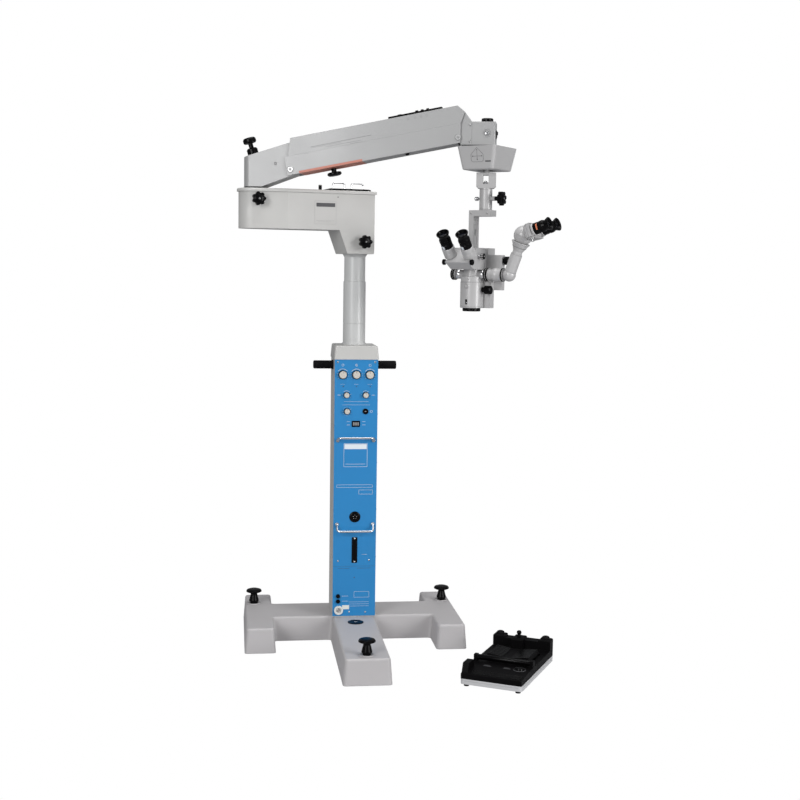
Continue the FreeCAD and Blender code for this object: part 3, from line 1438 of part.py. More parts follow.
def make_binocular():
    half = s.binocular_half_width
    x = -s.optic_side
    low = s.scope_top + s.splitter_height
    rear = -s.optic_front + s.splitter_radius * 0.6
    top_y, top_z = face_point(s.face_length, Size(0, "0"))
    profile = [(-s.ridge_front, s.ridge_height), (-s.ridge_front + 42, low), (rear, low), (rear, top_z - 12),
               (rear - 14, top_z), (top_y, top_z)]
    wedge = side_slab("binocular_wedge", profile, x - half, x + half)
    soften(wedge, s.arm_round * 0.8, crosswise)
    lock_y = -s.optic_front - 40
    lock = turned("binocular_lock", [
        (0, 0), (4, 0), (4, 10), (8, 11), (10.5, 14), (10.5, 21), (8, 24), (0, 24)],
        x + half - 1, lock_y, top_z - 30, along_x)
    ridge_y = -s.ridge_front + 10
    bore = rod("pupil_bore", 4 + s.fit, half * 3, x - half * 1.5, ridge_y, s.ridge_height, along_x)
    node("binocular_housing", carved("binocular_housing", joined("binocular_solid", wedge, lock), bore),
         head_frame)
    knob = s.pupil_knob_radius
    depth = s.pupil_knob_depth
    shaft = rod("pupil_shaft", 4, half * 2 + 8, x - half - 4, ridge_y, s.ridge_height, along_x)
    ends = [turned("pupil_knob_" + side, [
        (0, 0), (knob * 0.55, 0), (knob * 0.55, 4), (knob, 6), (knob, depth - 2), (knob * 0.8, depth), (0, depth)],
        x + (half + s.seat) * sign, ridge_y, s.ridge_height, turn)
        for side, sign, turn in (("left", -1, along_minus_x), ("right", 1, along_x))]
    node("pupil_distance_knob", joined("pupil_distance_knob", shaft, *ends), head_frame)
    tilt = Rotation(Vector(1, 0, 0), 90 - number(s.eye_tilt))
    for side, sign in (("left", -1), ("right", 1)):
        place_y, place_z = face_point(s.eye_seat, s.seat)
        eye_x = x + s.pupil_distance / 2 * sign
        holder_radius = s.holder_radius
        length = s.holder_length
        holder = turned("eye_holder_" + side, [
            (0, 0), (holder_radius, 0), (holder_radius, length - 3), (holder_radius - 2, length), (0, length)],
            eye_x, place_y, place_z, tilt)
        radius = s.eyepiece_radius
        cup = s.eyecup_radius
        reach = s.eyepiece_length
        tube_y, tube_z = face_point(s.eye_seat, s.seat + length)
        eyepiece = turned("eyepiece_tube_" + side, [
            (0, 0), (radius, 0), (radius, reach * 0.28), (radius - 1.5, reach * 0.3), (radius - 1.5, reach * 0.36),
            (radius, reach * 0.38), (radius, reach * 0.62), (radius - 3, reach * 0.7), (cup, reach * 0.92),
            (cup, reach), (cup - 4, reach), (radius - 6, reach * 0.82), (0, reach * 0.82)],
            eye_x, tube_y, tube_z, tilt)
        node("eyepiece_" + side, joined("eyepiece_whole_" + side, holder, eyepiece), head_frame)


# Observer tube

def make_observer():
    x = -s.optic_side
    y = -s.optic_front
    z = s.port_height
    start = s.right_port_reach + s.ring_width
    ball_x = x + s.coupling_reach
    neck = s.coupling_ball * 0.8
    ring = s.coupling_ball * 0.95
    shoulder = root(s.coupling_ball * s.coupling_ball - neck * neck)
    lip = root(s.coupling_ball * s.coupling_ball - ring * ring)
    begin = start + s.seat - s.coupling_reach
    ring_end = s.coupling_ball + 6
    coupling = turned("side_coupling", [
        (0, begin - 10), (9, begin - 10), (9, begin), (neck, begin), (neck, -shoulder, s.coupling_ball),
        (s.coupling_ball, zero, s.coupling_ball), (ring, lip), (ring, ring_end), (0, ring_end)],
        ball_x, y, z, along_x)
    ring_end = s.coupling_reach + ring_end
    plug_length = s.elbow_plug * 2
    socket = rod("elbow_socket", s.elbow_plug + s.fit, plug_length, x + ring_end - plug_length * 0.6, y, z, along_x)
    node("observer_coupling", carved("observer_coupling", coupling, socket), head_frame)
    lean = Rotation(Vector(0, 1, 0), number(s.arm_lean))
    elbow_x = x + s.elbow_reach
    tube_radius = s.arm_tube_radius
    elbow = s.elbow_ball
    tube = turned("observer_tube", [
        (0, -elbow, elbow), (elbow, zero, elbow), (tube_radius, root(elbow * elbow - tube_radius * tube_radius)),
        (tube_radius, s.arm_neck_start), (s.arm_neck_radius, s.arm_neck_start), (s.arm_neck_radius, s.cone_start),
        (s.observer_ball * 0.95, s.cone_end), (0, s.cone_end)], elbow_x, y, z, lean)
    cut_plane = rod("elbow_flat", s.elbow_ball * 2, s.elbow_ball, x + ring_end + s.seat - s.elbow_ball, y, z,
                    along_x)
    plug = rod("elbow_plug", s.elbow_plug, plug_length, x + ring_end - plug_length * 0.5, y, z, along_x)
    bore_start = s.cone_end - s.observer_plug * 1.6
    head_bore = rod("head_plug_bore", s.observer_plug + s.fit, s.observer_plug * 4,
                    elbow_x + bore_start * sine(s.arm_lean), y, z + bore_start * cosine(s.arm_lean), lean)
    node("observer_arm", carved("observer_arm", joined(
        "observer_arm_solid", carved("observer_arm_cut", tube, cut_plane), plug), head_bore), head_frame)
    reach = s.observer_reach
    ball_place_x = elbow_x + reach * sine(s.arm_lean)
    ball_place_z = z + reach * cosine(s.arm_lean)
    round_head = s.observer_ball
    below = s.cone_end + s.seat - reach
    sphere = turned("observer_sphere", [
        (0, below), (root(round_head * round_head - below * below), below, round_head),
        (round_head, zero, round_head), (0, round_head)], ball_place_x, y, ball_place_z, lean)
    plug_start = s.cone_end - s.observer_plug * 1.35
    plug = rod("observer_plug", s.observer_plug, s.observer_plug * 2.2, elbow_x + plug_start * sine(s.arm_lean), y,
               z + plug_start * cosine(s.arm_lean), lean)
    view = Rotation(Vector(0, 1, 0), -number(s.observer_tilt))
    half_w = s.observer_half_width
    half_h = s.observer_half_height
    root_x = round_head * 0.75
    body = plate("observer_body", [
        (root_x, -half_w * 0.6), (s.observer_body * 0.6, -half_w), (s.observer_body, -half_w),
        (s.observer_body, half_w), (s.observer_body * 0.6, half_w), (root_x, half_w * 0.6)],
        -half_h, half_h)
    soften(body, half_h * 0.5, lambda edge: not upright(edge))
    small = s.observer_knob_radius
    deep = s.observer_knob_depth
    side_knob = turned("observer_side_knob", [
        (0, 0), (small * 0.7, 0), (small * 0.7, deep * 0.4), (small, deep * 0.5), (small, deep * 0.9),
        (small * 0.8, deep), (0, deep)], s.observer_body * 0.7, 1 - half_w, 0, along_front)
    body_turned = joined("observer_body_turned", body, side_knob)
    body_turned.Placement = Placement(Vector(number(ball_place_x), number(y), number(ball_place_z)), view)
    pieces = [sphere, plug, body_turned]
    radius = s.eyepiece_radius
    cup = s.eyecup_radius
    length = s.observer_eye_length
    out_x = ball_place_x + s.observer_body * cosine(s.observer_tilt)
    out_z = ball_place_z + s.observer_body * sine(s.observer_tilt)
    for side, sign in (("near", -1), ("far", 1)):
        pieces.append(turned("observer_eyepiece_" + side, [
            (0, 0), (radius, 0), (radius, length * 0.55), (radius - 3, length * 0.68), (cup, length * 0.9),
            (cup, length), (cup - 4, length), (radius - 6, length * 0.82), (0, length * 0.82)],
            out_x, y + s.observer_eye_spacing / 2 * sign, out_z,
            Rotation(Vector(0, 1, 0), 90 - number(s.observer_tilt))))
    node("observer_head", joined("observer_head", *pieces), head_frame)


# Foot control

def make_foot_control():
    wide = s.pedal_half_width
    long = s.pedal_half_length
    low = s.pedal_clearance
    deck = low + s.pedal_plate
    rectangle = [(-wide, -long), (wide, -long), (wide, long), (-wide, long)]
    rim = plate("pedal_rim", rectangle, low, deck)
    soften(rim, s.pedal_corner, upright)
    node("foot_control_base", rim, pedal_frame)
    side = wide - s.pedal_inset
    front = -long + s.pedal_inset
    rear = long - s.pedal_inset
    wall = rear - s.rear_wall_depth
    top = deck + s.deck_height
    floor = top - s.rocker_well
    axle = floor + s.rocker_gap + s.rocker_pin
    lug = s.rocker_lug
    shell = side_slab("pedal_shell", [
        (front, deck), (rear, deck), (rear, deck + s.rear_wall_height), (wall, deck + s.rear_wall_height),
        (wall, top), (front + s.toe_length, top), (front, deck + s.toe_height)], -side, side)
    pieces = [shell, make_front_post(-side, front, deck), make_guard(side, deck)]
    for index, left in enumerate((-side, side - s.rear_post_width)):
        pieces.append(make_post("rear_post%d" % index, left, left + s.rear_post_width, wall, rear, deck,
                                s.rear_post_height))
    half = s.stick_boss_width / 2
    pieces.append(make_post("stick_boss", -s.stick_side - half, half - s.stick_side, wall - s.stick_boss_reach,
                            rear, deck, s.rear_post_height - 2))
    well = box("pedal_well", (-s.rocker_left - 3, s.rocker_right + 3),
               (s.rocker_front - lug - 3, s.rocker_rear + lug + 3), (floor, top * 1.5))
    stick_y = wall + s.rear_wall_depth / 2 - s.stick_boss_reach / 2
    stick_z = deck + s.rear_post_height - s.stick_well
    cup = s.stick_ball + s.fit
    stick_bore = turned("stick_bore", [
        (0, -cup, cup), (cup, zero), (s.stick_shaft * 2.2, s.stick_well * 2), (0, s.stick_well * 2)],
        -s.stick_side, stick_y, stick_z)
    shell_open = carved("foot_control_open", joined("foot_control_solid", *pieces), well, stick_bore)
    lugs = [box("rocker_lug%d" % index, (-lug, lug), span_y, (floor - 1, axle + lug * 0.8))
            for index, span_y in enumerate((
                (s.rocker_front - lug - 1, s.rocker_front - 1), (s.rocker_rear + 1, s.rocker_rear + lug + 1)))]
    length = s.rocker_rear - s.rocker_front
    pin_bore = rod("rocker_bore", s.rocker_pin + s.fit, length * 2, 0, s.rocker_rear + length / 2, axle, along_front)
    lugs_bored = carved("rocker_lugs", joined("rocker_lug_pair", *lugs), pin_bore)
    edge = s.pedal_foot_inset
    feet = [rod("pedal_foot%d" % index, s.pedal_foot_radius, low, x, y, 0) for index, (x, y) in enumerate((
        (-wide + edge, -long + edge), (wide - edge, -long + edge), (wide - edge, long - edge),
        (-wide + edge, long - edge)))]
    body = joined("foot_control_shell", shell_open, lugs_bored)
    node("foot_control_body", grouped("foot_control_body", body, *feet), pedal_frame)
    make_rocker(axle)
    make_stick(stick_y, stick_z)


def make_front_post(left, front, deck):
    length = s.front_post_length
    height = s.front_post_height
    post = side_slab("front_post", [
        (front, deck), (front + length * 1.4, deck), (front + length * 1.2, deck + height),
        (front + length * 0.35, deck + height)], left, left + s.front_post_width)
    return soften(post, s.post_round * 0.6, crosswise)


def make_guard(side, deck):
    """A round bar across the toe board, carried by a cheek at each end."""
    height = deck + s.guard_height
    radius = s.guard_radius
    cheek = s.guard_cheek
    bar = rod("guard_bar", radius, side * 2 - cheek, cheek / 2 - side, -s.guard_place, height, along_x)
    cheeks = [box("guard_cheek%d" % index, (left, left + cheek), (-s.guard_place - radius * 1.15,
                  -s.guard_place + radius * 1.15), (deck, height + radius * 1.1))
              for index, left in enumerate((-side, side - cheek))]
    return joined("guard", bar, *cheeks)


def make_post(name, left, right, front, rear, low, height):
    post = plate(name, [(left, front), (right, front), (right, rear), (left, rear)], low, low + height)
    return soften(post, s.post_round, at_height(height))


def make_rocker(axle):
    low = axle - s.rocker_pin
    left = -s.rocker_left
    right = s.rocker_right
    wing = low + s.rocker_wing
    edge = low + s.rocker_edge
    centre = low + s.rocker_centre
    treads = slab("rocker_treads", [
        (left, edge), (-s.rocker_pin, low), (s.rocker_pin, low), (right, edge), (right * 0.94, wing),
        (s.rocker_lug, centre), (-s.rocker_lug, centre), (left * 0.94, wing)], s.rocker_front, s.rocker_rear)
    reach = s.rocker_lug
    pin = rod("rocker_pin", s.rocker_pin, s.rocker_rear - s.rocker_front + reach * 2, 0, s.rocker_rear + reach,
              axle, along_front)
    node("rocker_pedal", joined("rocker_pedal", treads, pin), pedal_frame)


def make_stick(y, z):
    """A ball on the tilting axis, a shaft and a knob."""
    shaft = s.stick_shaft
    radius = s.stick_radius
    low = s.stick_well + s.stick_height * 0.3
    high = s.stick_well + s.stick_height
    ball = s.stick_ball
    shoulder = root(ball * ball - shaft * shaft)
    stick = turned("joystick", [
        (0, -ball, ball), (ball, zero, ball), (shaft, shoulder), (shaft, low), (radius, low + 3), (radius, high - 3),
        (radius * 0.6, high), (0, high)], -s.stick_side, y, z)
    node("joystick", stick, pedal_frame)


make_base()
make_castors()
make_jacks()
make_level()
make_column()
make_grips()
make_telescope()
make_panel_knobs()
make_sockets()
make_rack_handles()
make_lower_arm()
make_arm_stars()
make_drawer()
make_rear_block()
make_casing()
make_link()
make_front_housing()
make_cross_head()
make_hanger()
make_bracket()
make_carrier()
make_scope()
make_splitter()
make_binocular()
make_observer()
make_foot_control()
doc.recompute()

faults = [obj.Name for obj in doc.Objects if "Invalid" in obj.State or "Error" in obj.State]
if faults:
    raise RuntimeError("these objects failed: " + ", ".join(faults))
for obj in nodes:
    if obj.Shape.isNull() or not obj.Shape.isValid():
        raise RuntimeError(obj.Label + " has no valid shape")
    if len(obj.Label) > 59:
        raise RuntimeError(obj.Label + " has too long a name")
for obj in nodes:
    obj.Shape.exportStep("parts/%s.step" % obj.Label)
print("wrote %d nodes" % len(nodes))
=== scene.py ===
import json
import math
import bmesh
import bpy
from mathutils import Matrix, Vector


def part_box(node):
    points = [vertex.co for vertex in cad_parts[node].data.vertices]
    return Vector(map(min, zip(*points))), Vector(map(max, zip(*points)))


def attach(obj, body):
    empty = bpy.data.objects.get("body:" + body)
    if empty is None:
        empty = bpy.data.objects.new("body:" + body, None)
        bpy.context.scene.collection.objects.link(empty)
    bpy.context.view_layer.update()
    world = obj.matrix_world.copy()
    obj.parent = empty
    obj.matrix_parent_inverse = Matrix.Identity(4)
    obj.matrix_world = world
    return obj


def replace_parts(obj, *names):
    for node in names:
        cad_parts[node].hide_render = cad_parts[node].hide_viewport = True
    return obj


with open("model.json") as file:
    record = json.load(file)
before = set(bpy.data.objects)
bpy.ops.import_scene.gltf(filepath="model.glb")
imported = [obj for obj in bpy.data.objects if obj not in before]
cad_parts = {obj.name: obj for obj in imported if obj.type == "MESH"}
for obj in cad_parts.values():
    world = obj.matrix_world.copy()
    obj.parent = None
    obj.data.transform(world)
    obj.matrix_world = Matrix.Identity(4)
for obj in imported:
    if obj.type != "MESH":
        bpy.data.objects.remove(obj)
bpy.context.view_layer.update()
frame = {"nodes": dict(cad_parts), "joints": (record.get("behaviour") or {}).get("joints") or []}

nodes = frame["nodes"]
joints = {joint["name"]: joint for joint in frame["joints"]}
scene = bpy.context.scene
mm = 0.001
print("frame loaded")


# Local frames, read from the joints: the origin is a pivot and x runs along the arm or to the head's right

def jointPlace(name):
    return Vector(joints[name]["pos_m"])


def jointAxis(name):
    return Vector(joints[name]["axis"]).normalized()


def frameFrom(origin, xAxis, zAxis):
    z = zAxis.normalized()
    y = z.cross(xAxis).normalized()
    x = y.cross(z)
    return Matrix.Translation(origin) @ Matrix((x, y, z)).transposed().to_4x4()


def shift(x, y, z):
    """A move, in millimetres."""
    return Matrix.Translation(Vector((x, y, z)) * mm)


up = Vector((0, 0, 1))
nearSide = (0, -1, 0)
stand = Matrix.Identity(4)
toArmFront = jointAxis("swing_clamp_turn")
armFrame = frameFrom(Vector(), up.cross(toArmFront), up)
upperOrigin = jointPlace("upper_arm_swing")
upperOrigin.z = 0
alongUpper = jointAxis("arm_tilt").cross(-up)
upperFrame = frameFrom(upperOrigin, alongUpper, up)
casingFrame = frameFrom(jointPlace("arm_tilt"), alongUpper, -jointAxis("tilt_brake_turn"))
headOrigin = jointPlace("head_swing")
headOrigin.z = 0
headFrame = frameFrom(headOrigin, jointAxis("cross_x"), up)
pedalAxis = jointAxis("rocker_tilt")
pedalOrigin = jointPlace("rocker_tilt")
pedalOrigin.z = 0
pedalFrame = frameFrom(pedalOrigin, pedalAxis.cross(up), up)


# Materials

def setInputs(node, values):
    for name, value in values.items():
        node.inputs[name].default_value = value


def addNode(tree, kind, inputs=None, **values):
    """A new shader node with its settings and inputs."""
    node = tree.nodes.new(kind)
    for name, value in values.items():
        setattr(node, name, value)
    setInputs(node, inputs or {})
    return node


def makeFinish(name, look):
    """A procedural finish: mottled colour, fine grain, rounded-looking edges and a little edge wear."""
    material = bpy.data.materials.new(name)
    material.use_nodes = True
    tree = material.node_tree
    shader = tree.nodes["Principled BSDF"]
    link = tree.links.new
    place = addNode(tree, "ShaderNodeTexCoord").outputs["Object"]
    if "stretch" in look:
        squeeze = addNode(tree, "ShaderNodeMapping", {"Scale": look["stretch"]})
        link(place, squeeze.inputs["Vector"])
        place = squeeze.outputs["Vector"]
    cloud = addNode(tree, "ShaderNodeTexNoise", {"Scale": look.get("cloudScale", 9), "Detail": 4})
    grain = addNode(tree, "ShaderNodeTexNoise", {"Scale": look.get("grainScale", 900), "Detail": 3})
    for noise in (cloud, grain):
        link(place, noise.inputs["Vector"])
    shade = look.get("shade", [c * 0.8 for c in look["colour"]])
    tint = addNode(tree, "ShaderNodeMix", data_type="RGBA")
    setInputs(tint, {"A": (*look["colour"], 1), "B": (*shade, 1)})
    ramp = addNode(tree, "ShaderNodeMapRange", {"From Min": 0.35, "From Max": 0.75,
                                                "To Max": look.get("mottle", 0.35)})
    link(cloud.outputs["Fac"], ramp.inputs["Value"])
    link(ramp.outputs["Result"], tint.inputs["Factor"])
    colour = tint.outputs["Result"]
    soft = addNode(tree, "ShaderNodeBevel", {"Radius": look.get("edge", 0.0012)}, samples=4)
    if look.get("wear", 0) > 0:
        true = addNode(tree, "ShaderNodeNewGeometry").outputs["Normal"]
        match = addNode(tree, "ShaderNodeVectorMath", operation="DOT_PRODUCT")
        link(soft.outputs["Normal"], match.inputs[0])
        link(true, match.inputs[1])
        edge = addNode(tree, "ShaderNodeMapRange", {"From Min": 0.995, "From Max": 0.8,
                                                    "To Max": look["wear"]})
        link(match.outputs["Value"], edge.inputs["Value"])
        worn = addNode(tree, "ShaderNodeMix", {"B": (*look["worn"], 1)}, data_type="RGBA")
        link(edge.outputs["Result"], worn.inputs["Factor"])
        link(colour, worn.inputs["A"])
        colour = worn.outputs["Result"]
    link(colour, shader.inputs["Base Color"])
    rough = addNode(tree, "ShaderNodeMapRange", {"To Min": look["rough"] * 0.85,
                                                 "To Max": look["rough"] * 1.2})
    link(cloud.outputs["Fac"], rough.inputs["Value"])
    link(rough.outputs["Result"], shader.inputs["Roughness"])
    bump = addNode(tree, "ShaderNodeBump", {"Strength": look.get("bump", 0.15),
                                            "Distance": look.get("relief", 0.0003)})
    link(grain.outputs["Fac"], bump.inputs["Height"])
    link(soft.outputs["Normal"], bump.inputs["Normal"])
    link(bump.outputs["Normal"], shader.inputs["Normal"])
    setInputs(shader, {"Metallic": look.get("metal", 0), "Coat Weight": look.get("coat", 0),
                       "Coat Roughness": 0.12, "Specular IOR Level": look.get("gloss", 0.5)})
    return material


finishes = {
    "greyPaint": {"colour": (0.435, 0.43, 0.43), "shade": (0.385, 0.38, 0.38), "rough": 0.34, "mottle": 0.3,
                  "grainScale": 1400, "bump": 0.1, "edge": 0.002, "coat": 0.25, "wear": 0.25,
                  "worn": (0.6, 0.6, 0.6)},
    # The upper arm's parts wear a darker copy of the light grey paint: painted shade, not a paint of their
    # own.
    "shadedArmPaint": {"colour": (0.315, 0.315, 0.315), "shade": (0.275, 0.275, 0.275), "rough": 0.36,
                 "mottle": 0.3, "grainScale": 1400, "bump": 0.1, "edge": 0.002, "coat": 0.2, "wear": 0.25,
                 "worn": (0.5, 0.5, 0.5)},
    "columnPaint": {"colour": (0.50, 0.495, 0.48), "shade": (0.43, 0.425, 0.41), "rough": 0.45,
                    "mottle": 0.4, "grainScale": 1500, "bump": 0.15, "edge": 0.0018, "wear": 0.2,
                    "worn": (0.6, 0.59, 0.57)},
    "basePaint": {"colour": (0.47, 0.455, 0.46), "shade": (0.40, 0.385, 0.39), "rough": 0.5, "mottle": 0.45,
                  "cloudScale": 5, "grainScale": 700, "bump": 0.3, "relief": 0.0005, "edge": 0.004,
                  "wear": 0.3, "worn": (0.56, 0.55, 0.55)},
    "bluePanel": {"colour": (0.017, 0.212, 0.50), "shade": (0.014, 0.188, 0.45), "rough": 0.38,
                  "mottle": 0.3, "grainScale": 1800, "bump": 0.08, "edge": 0.0008, "wear": 0.3,
                  "worn": (0.2, 0.4, 0.7)},
    "tubePaint": {"colour": (0.55, 0.555, 0.55), "shade": (0.48, 0.485, 0.48), "rough": 0.28, "mottle": 0.3,
                  "stretch": (1, 1, 0.15), "grainScale": 500, "bump": 0.05, "edge": 0.001},
    "blackGloss": {"colour": (0.0015, 0.0013, 0.0016), "shade": (0.003, 0.0028, 0.003), "rough": 0.26,
                   "mottle": 0.5, "grainScale": 500, "bump": 0.06, "edge": 0.0015, "coat": 0.02,
                   "gloss": 0.1, "wear": 0.2, "worn": (0.012, 0.012, 0.012)},
    "blackMatte": {"colour": (0.0018, 0.0015, 0.0018), "shade": (0.0036, 0.0032, 0.0036), "rough": 0.5,
                   "mottle": 0.6, "grainScale": 1200, "bump": 0.4, "relief": 0.0004, "edge": 0.002,
                   "gloss": 0.06, "wear": 0.2, "worn": (0.014, 0.014, 0.014)},
    "rubber": {"colour": (0.0035, 0.003, 0.0035), "rough": 0.7, "mottle": 0.5, "grainScale": 900,
               "bump": 0.4, "gloss": 0.12, "edge": 0.002},
    "chrome": {"colour": (0.72, 0.72, 0.73), "shade": (0.6, 0.6, 0.61), "rough": 0.14, "metal": 1,
               "grainScale": 400, "bump": 0.03, "edge": 0.0006},
    "brushedSteel": {"colour": (0.55, 0.55, 0.55), "shade": (0.45, 0.45, 0.45), "rough": 0.3, "metal": 1,
                     "stretch": (0.05, 1, 1), "grainScale": 1500, "bump": 0.12, "edge": 0.0006},
    "cream": {"colour": (0.56, 0.53, 0.48), "shade": (0.48, 0.45, 0.40), "rough": 0.4, "grainScale": 900,
              "bump": 0.1, "edge": 0.0008},
    "whitePrint": {"colour": (0.72, 0.76, 0.8), "rough": 0.5, "mottle": 0.2, "bump": 0.02},
    "darkPrint": {"colour": (0.06, 0.06, 0.065), "rough": 0.5, "mottle": 0.2, "bump": 0.02},
    "greyPrint": {"colour": (0.24, 0.24, 0.24), "rough": 0.5, "mottle": 0.2, "bump": 0.02},
    "redStripe": {"colour": (0.46, 0.15, 0.10), "shade": (0.40, 0.125, 0.085), "rough": 0.4, "bump": 0.05,
                  "edge": 0.001},
    "whitePlastic": {"colour": (0.72, 0.72, 0.69), "rough": 0.35, "grainScale": 800, "bump": 0.08},
    "greyPlastic": {"colour": (0.55, 0.55, 0.56), "shade": (0.47, 0.47, 0.48), "rough": 0.4,
                    "grainScale": 800, "bump": 0.15, "edge": 0.0015, "wear": 0.3,
                    "worn": (0.65, 0.65, 0.65)},
    "softPrint": {"colour": (0.34, 0.34, 0.34), "rough": 0.5, "mottle": 0.2, "bump": 0.02},
    "orangePrint": {"colour": (0.62, 0.17, 0.07), "rough": 0.4, "mottle": 0.2, "bump": 0.02},
    "lens": {"colour": (0.003, 0.004, 0.007), "shade": (0.005, 0.003, 0.008), "rough": 0.06, "coat": 0.2,
             "bump": 0.0, "mottle": 0.6},
}
finish = {name: makeFinish(name, look) for name, look in finishes.items()}

nodeFinish = {
    "basePaint": ["base_casting"],
    "columnPaint": ["column_housing", "column_cap", "lower_arm_housing", "lower_arm_cover"],
    "bluePanel": ["front_panel"],
    "tubePaint": ["outer_tube", "inner_tube"],
    "chrome": ["rack_handles", "front_button"],
    "brushedSteel": ["balance_spring", "level_link", "x_slide"],
    "rubber": ["castors", "push_grips"],
    # Painted shade: the upper arm's parts get the darker copy of the grey paint.
    "shadedArmPaint": ["pivot_pins", "arm_rear_block", "arm_casing", "arm_top_cover", "front_housing"],
    "greyPaint": ["cross_slide_housing", "suspension_fork", "suspension_bracket", "tilt_carrier",
                  "microscope_body", "beam_splitter", "binocular_housing", "observer_coupling",
                  "observer_arm"],
    "greyPlastic": ["foot_control_base"],
    "blackMatte": ["foot_control_body", "rocker_pedal", "joystick", "lamp_drawer", "control_strip",
                   "panel_sockets"],
}
nodeLook = {name: look for look, names in nodeFinish.items() for name in names}
for name in nodes:
    nodes[name].data.materials.clear()
    nodes[name].data.materials.append(finish[nodeLook.get(name, "blackGloss")])
print("finishes made")


# Mesh tools: each returns an object in its place, dressed and riding on its body

def finishPiece(shape, name, look, body, place, smooth=40):
    """Turns a worked shape into a dressed object in its place."""
    bmesh.ops.recalc_face_normals(shape, faces=shape.faces)
    mesh = bpy.data.meshes.new(name)
    shape.to_mesh(mesh)
    shape.free()
    piece = bpy.data.objects.new(name, mesh)
    scene.collection.objects.link(piece)
    mesh.materials.append(finish[look])
    mesh.transform(place)
    for polygon in mesh.polygons:
        polygon.use_smooth = True
    mesh.set_sharp_from_angle(angle=math.radians(smooth))
    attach(piece, body)
    return piece


def lathe(name, profile, look, body, place, steps=48):
    """Turns (radius, height) points, in millimetres, about the local z axis."""
    shape = bmesh.new()
    rings = []
    for radius, height in profile:
        if radius < 1e-6:
            rings.append([shape.verts.new((0, 0, height * mm))])
            continue
        rings.append([shape.verts.new((radius * mm * math.cos(math.tau * k / steps),
                                       radius * mm * math.sin(math.tau * k / steps), height * mm))
                      for k in range(steps)])
    for low, high in zip(rings, rings[1:]):
        for k in range(steps):
            ring = [low[k % len(low)], low[(k + 1) % len(low)], high[(k + 1) % len(high)],
                    high[k % len(high)]]
            corners = list(dict.fromkeys(ring))
            if len(corners) > 2:
                shape.faces.new(corners)
    return finishPiece(shape, name, look, body, place)


def latheEach(body, rows):
    """Turns a piece for each row: its name, look, place, steps and profile."""
    return [lathe(name, profile, look, body, place, steps) for name, look, place, steps, profile in rows]


def prism(name, outline, low, high, look, body, place, bevel=0.4):
    """Raises an outline of (x, y) points between two heights, in millimetres, with rounded edges."""
    shape = bmesh.new()
    base = [shape.verts.new((x * mm, y * mm, low * mm)) for x, y in outline]
    face = shape.faces.new(base)
    lifted = bmesh.ops.extrude_face_region(shape, geom=[face])["geom"]
    for vertex in (item for item in lifted if isinstance(item, bmesh.types.BMVert)):
        vertex.co.z = high * mm
    if bevel > 0:
        bmesh.ops.bevel(shape, geom=shape.edges[:], offset=bevel * mm, segments=2, affect="EDGES")
    return finishPiece(shape, name, look, body, place)


def rectangle(left, right, low, high):
    return [(left, low), (right, low), (right, high), (left, high)]


def onFace(frameMatrix, x, y, z, outward):
    """A place on a surface: local z points outward, local y upward where it can."""
    direction = Vector(outward).normalized()
    side = Vector((0, 0, 1)).cross(direction)
    if side.length < 1e-4:
        side = Vector((1, 0, 0))
    side.normalize()
    turn = Matrix((side, direction.cross(side), direction)).transposed().to_4x4()
    return frameMatrix @ shift(x, y, z) @ turn


def ribbedRing(steps, first, second, period=2):
    """A round outline whose reach changes between two values, half a period of points each."""
    reaches = [first if k % period < period / 2 else second for k in range(steps)]
    return [(reach * math.cos(math.tau * k / steps), reach * math.sin(math.tau * k / steps))
            for k, reach in enumerate(reaches)]


def joinPieces(name, pieces):
    """Joins pieces that share a body into one object."""
    first = pieces[0]
    with bpy.context.temp_override(active_object=first, selected_editable_objects=pieces,
                                   selected_objects=pieces, object=first):
        bpy.ops.object.join()
    first.name = name
    return first


def tube(name, points, radius, look, body, place, steps=12, bend=0, turns=6):
    """A round rod along a path; inner corners are rounded with the given reach."""
    path = [Vector(points[0])]
    for before, corner, after in zip(points, points[1:], points[2:]):
        corner = Vector(corner)
        first = corner + (Vector(before) - corner).normalized() * bend
        last = corner + (Vector(after) - corner).normalized() * bend
        for k in range(turns + 1):
            share = k / turns
            path.append(first * (1 - share) ** 2 + corner * 2 * share * (1 - share) + last * share ** 2)
    path.append(Vector(points[-1]))
    path = [path[0]] + [b for a, b in zip(path, path[1:]) if (b - a).length > 0.01]
    shape = bmesh.new()
    rings = []
    side = None
    for k, centre in enumerate(path):
        along = (path[min(k + 1, len(path) - 1)] - path[max(k - 1, 0)]).normalized()
        if side is None:
            side = along.orthogonal().normalized()
        side = (side - along * side.dot(along)).normalized()
        across = along.cross(side)
        rings.append([shape.verts.new((centre + (side * math.cos(math.tau * j / steps)
                                                 + across * math.sin(math.tau * j / steps)) * radius) * mm)
                      for j in range(steps)])
    for low, high in zip(rings, rings[1:]):
        for j in range(steps):
            shape.faces.new((low[j], low[(j + 1) % steps], high[(j + 1) % steps], high[j]))
    shape.faces.new(rings[-1])
    shape.faces.new(list(reversed(rings[0])))
    return finishPiece(shape, name, look, body, place)


def screw(name, body, place, radius=3.2, look="brushedSteel"):
    """A slotted pan head."""
    head = lathe(name, [(0, 0), (radius, 0), (radius, 0.7), (radius * 0.75, 1.5), (radius * 0.2, 1.8),
                        (0, 1.8)], look, body, place, 20)
    slot = prism(name + "Slot", rectangle(-radius * 0.8, radius * 0.8, -0.4, 0.4), 1.7, 1.95, "darkPrint",
                 body, place, 0)
    return joinPieces(name, [head, slot])


print("tools ready")


# Floor, light and camera

def showToCamera(tree, usual, seen, output):
    """Lets camera rays meet one shader and all other rays another."""
    path = addNode(tree, "ShaderNodeLightPath")
    blend = addNode(tree, "ShaderNodeMixShader")
    tree.links.new(path.outputs["Is Camera Ray"], blend.inputs["Fac"])
    tree.links.new(usual, blend.inputs[1])
    tree.links.new(seen, blend.inputs[2])
    tree.links.new(blend.outputs["Shader"], output.inputs["Surface"])


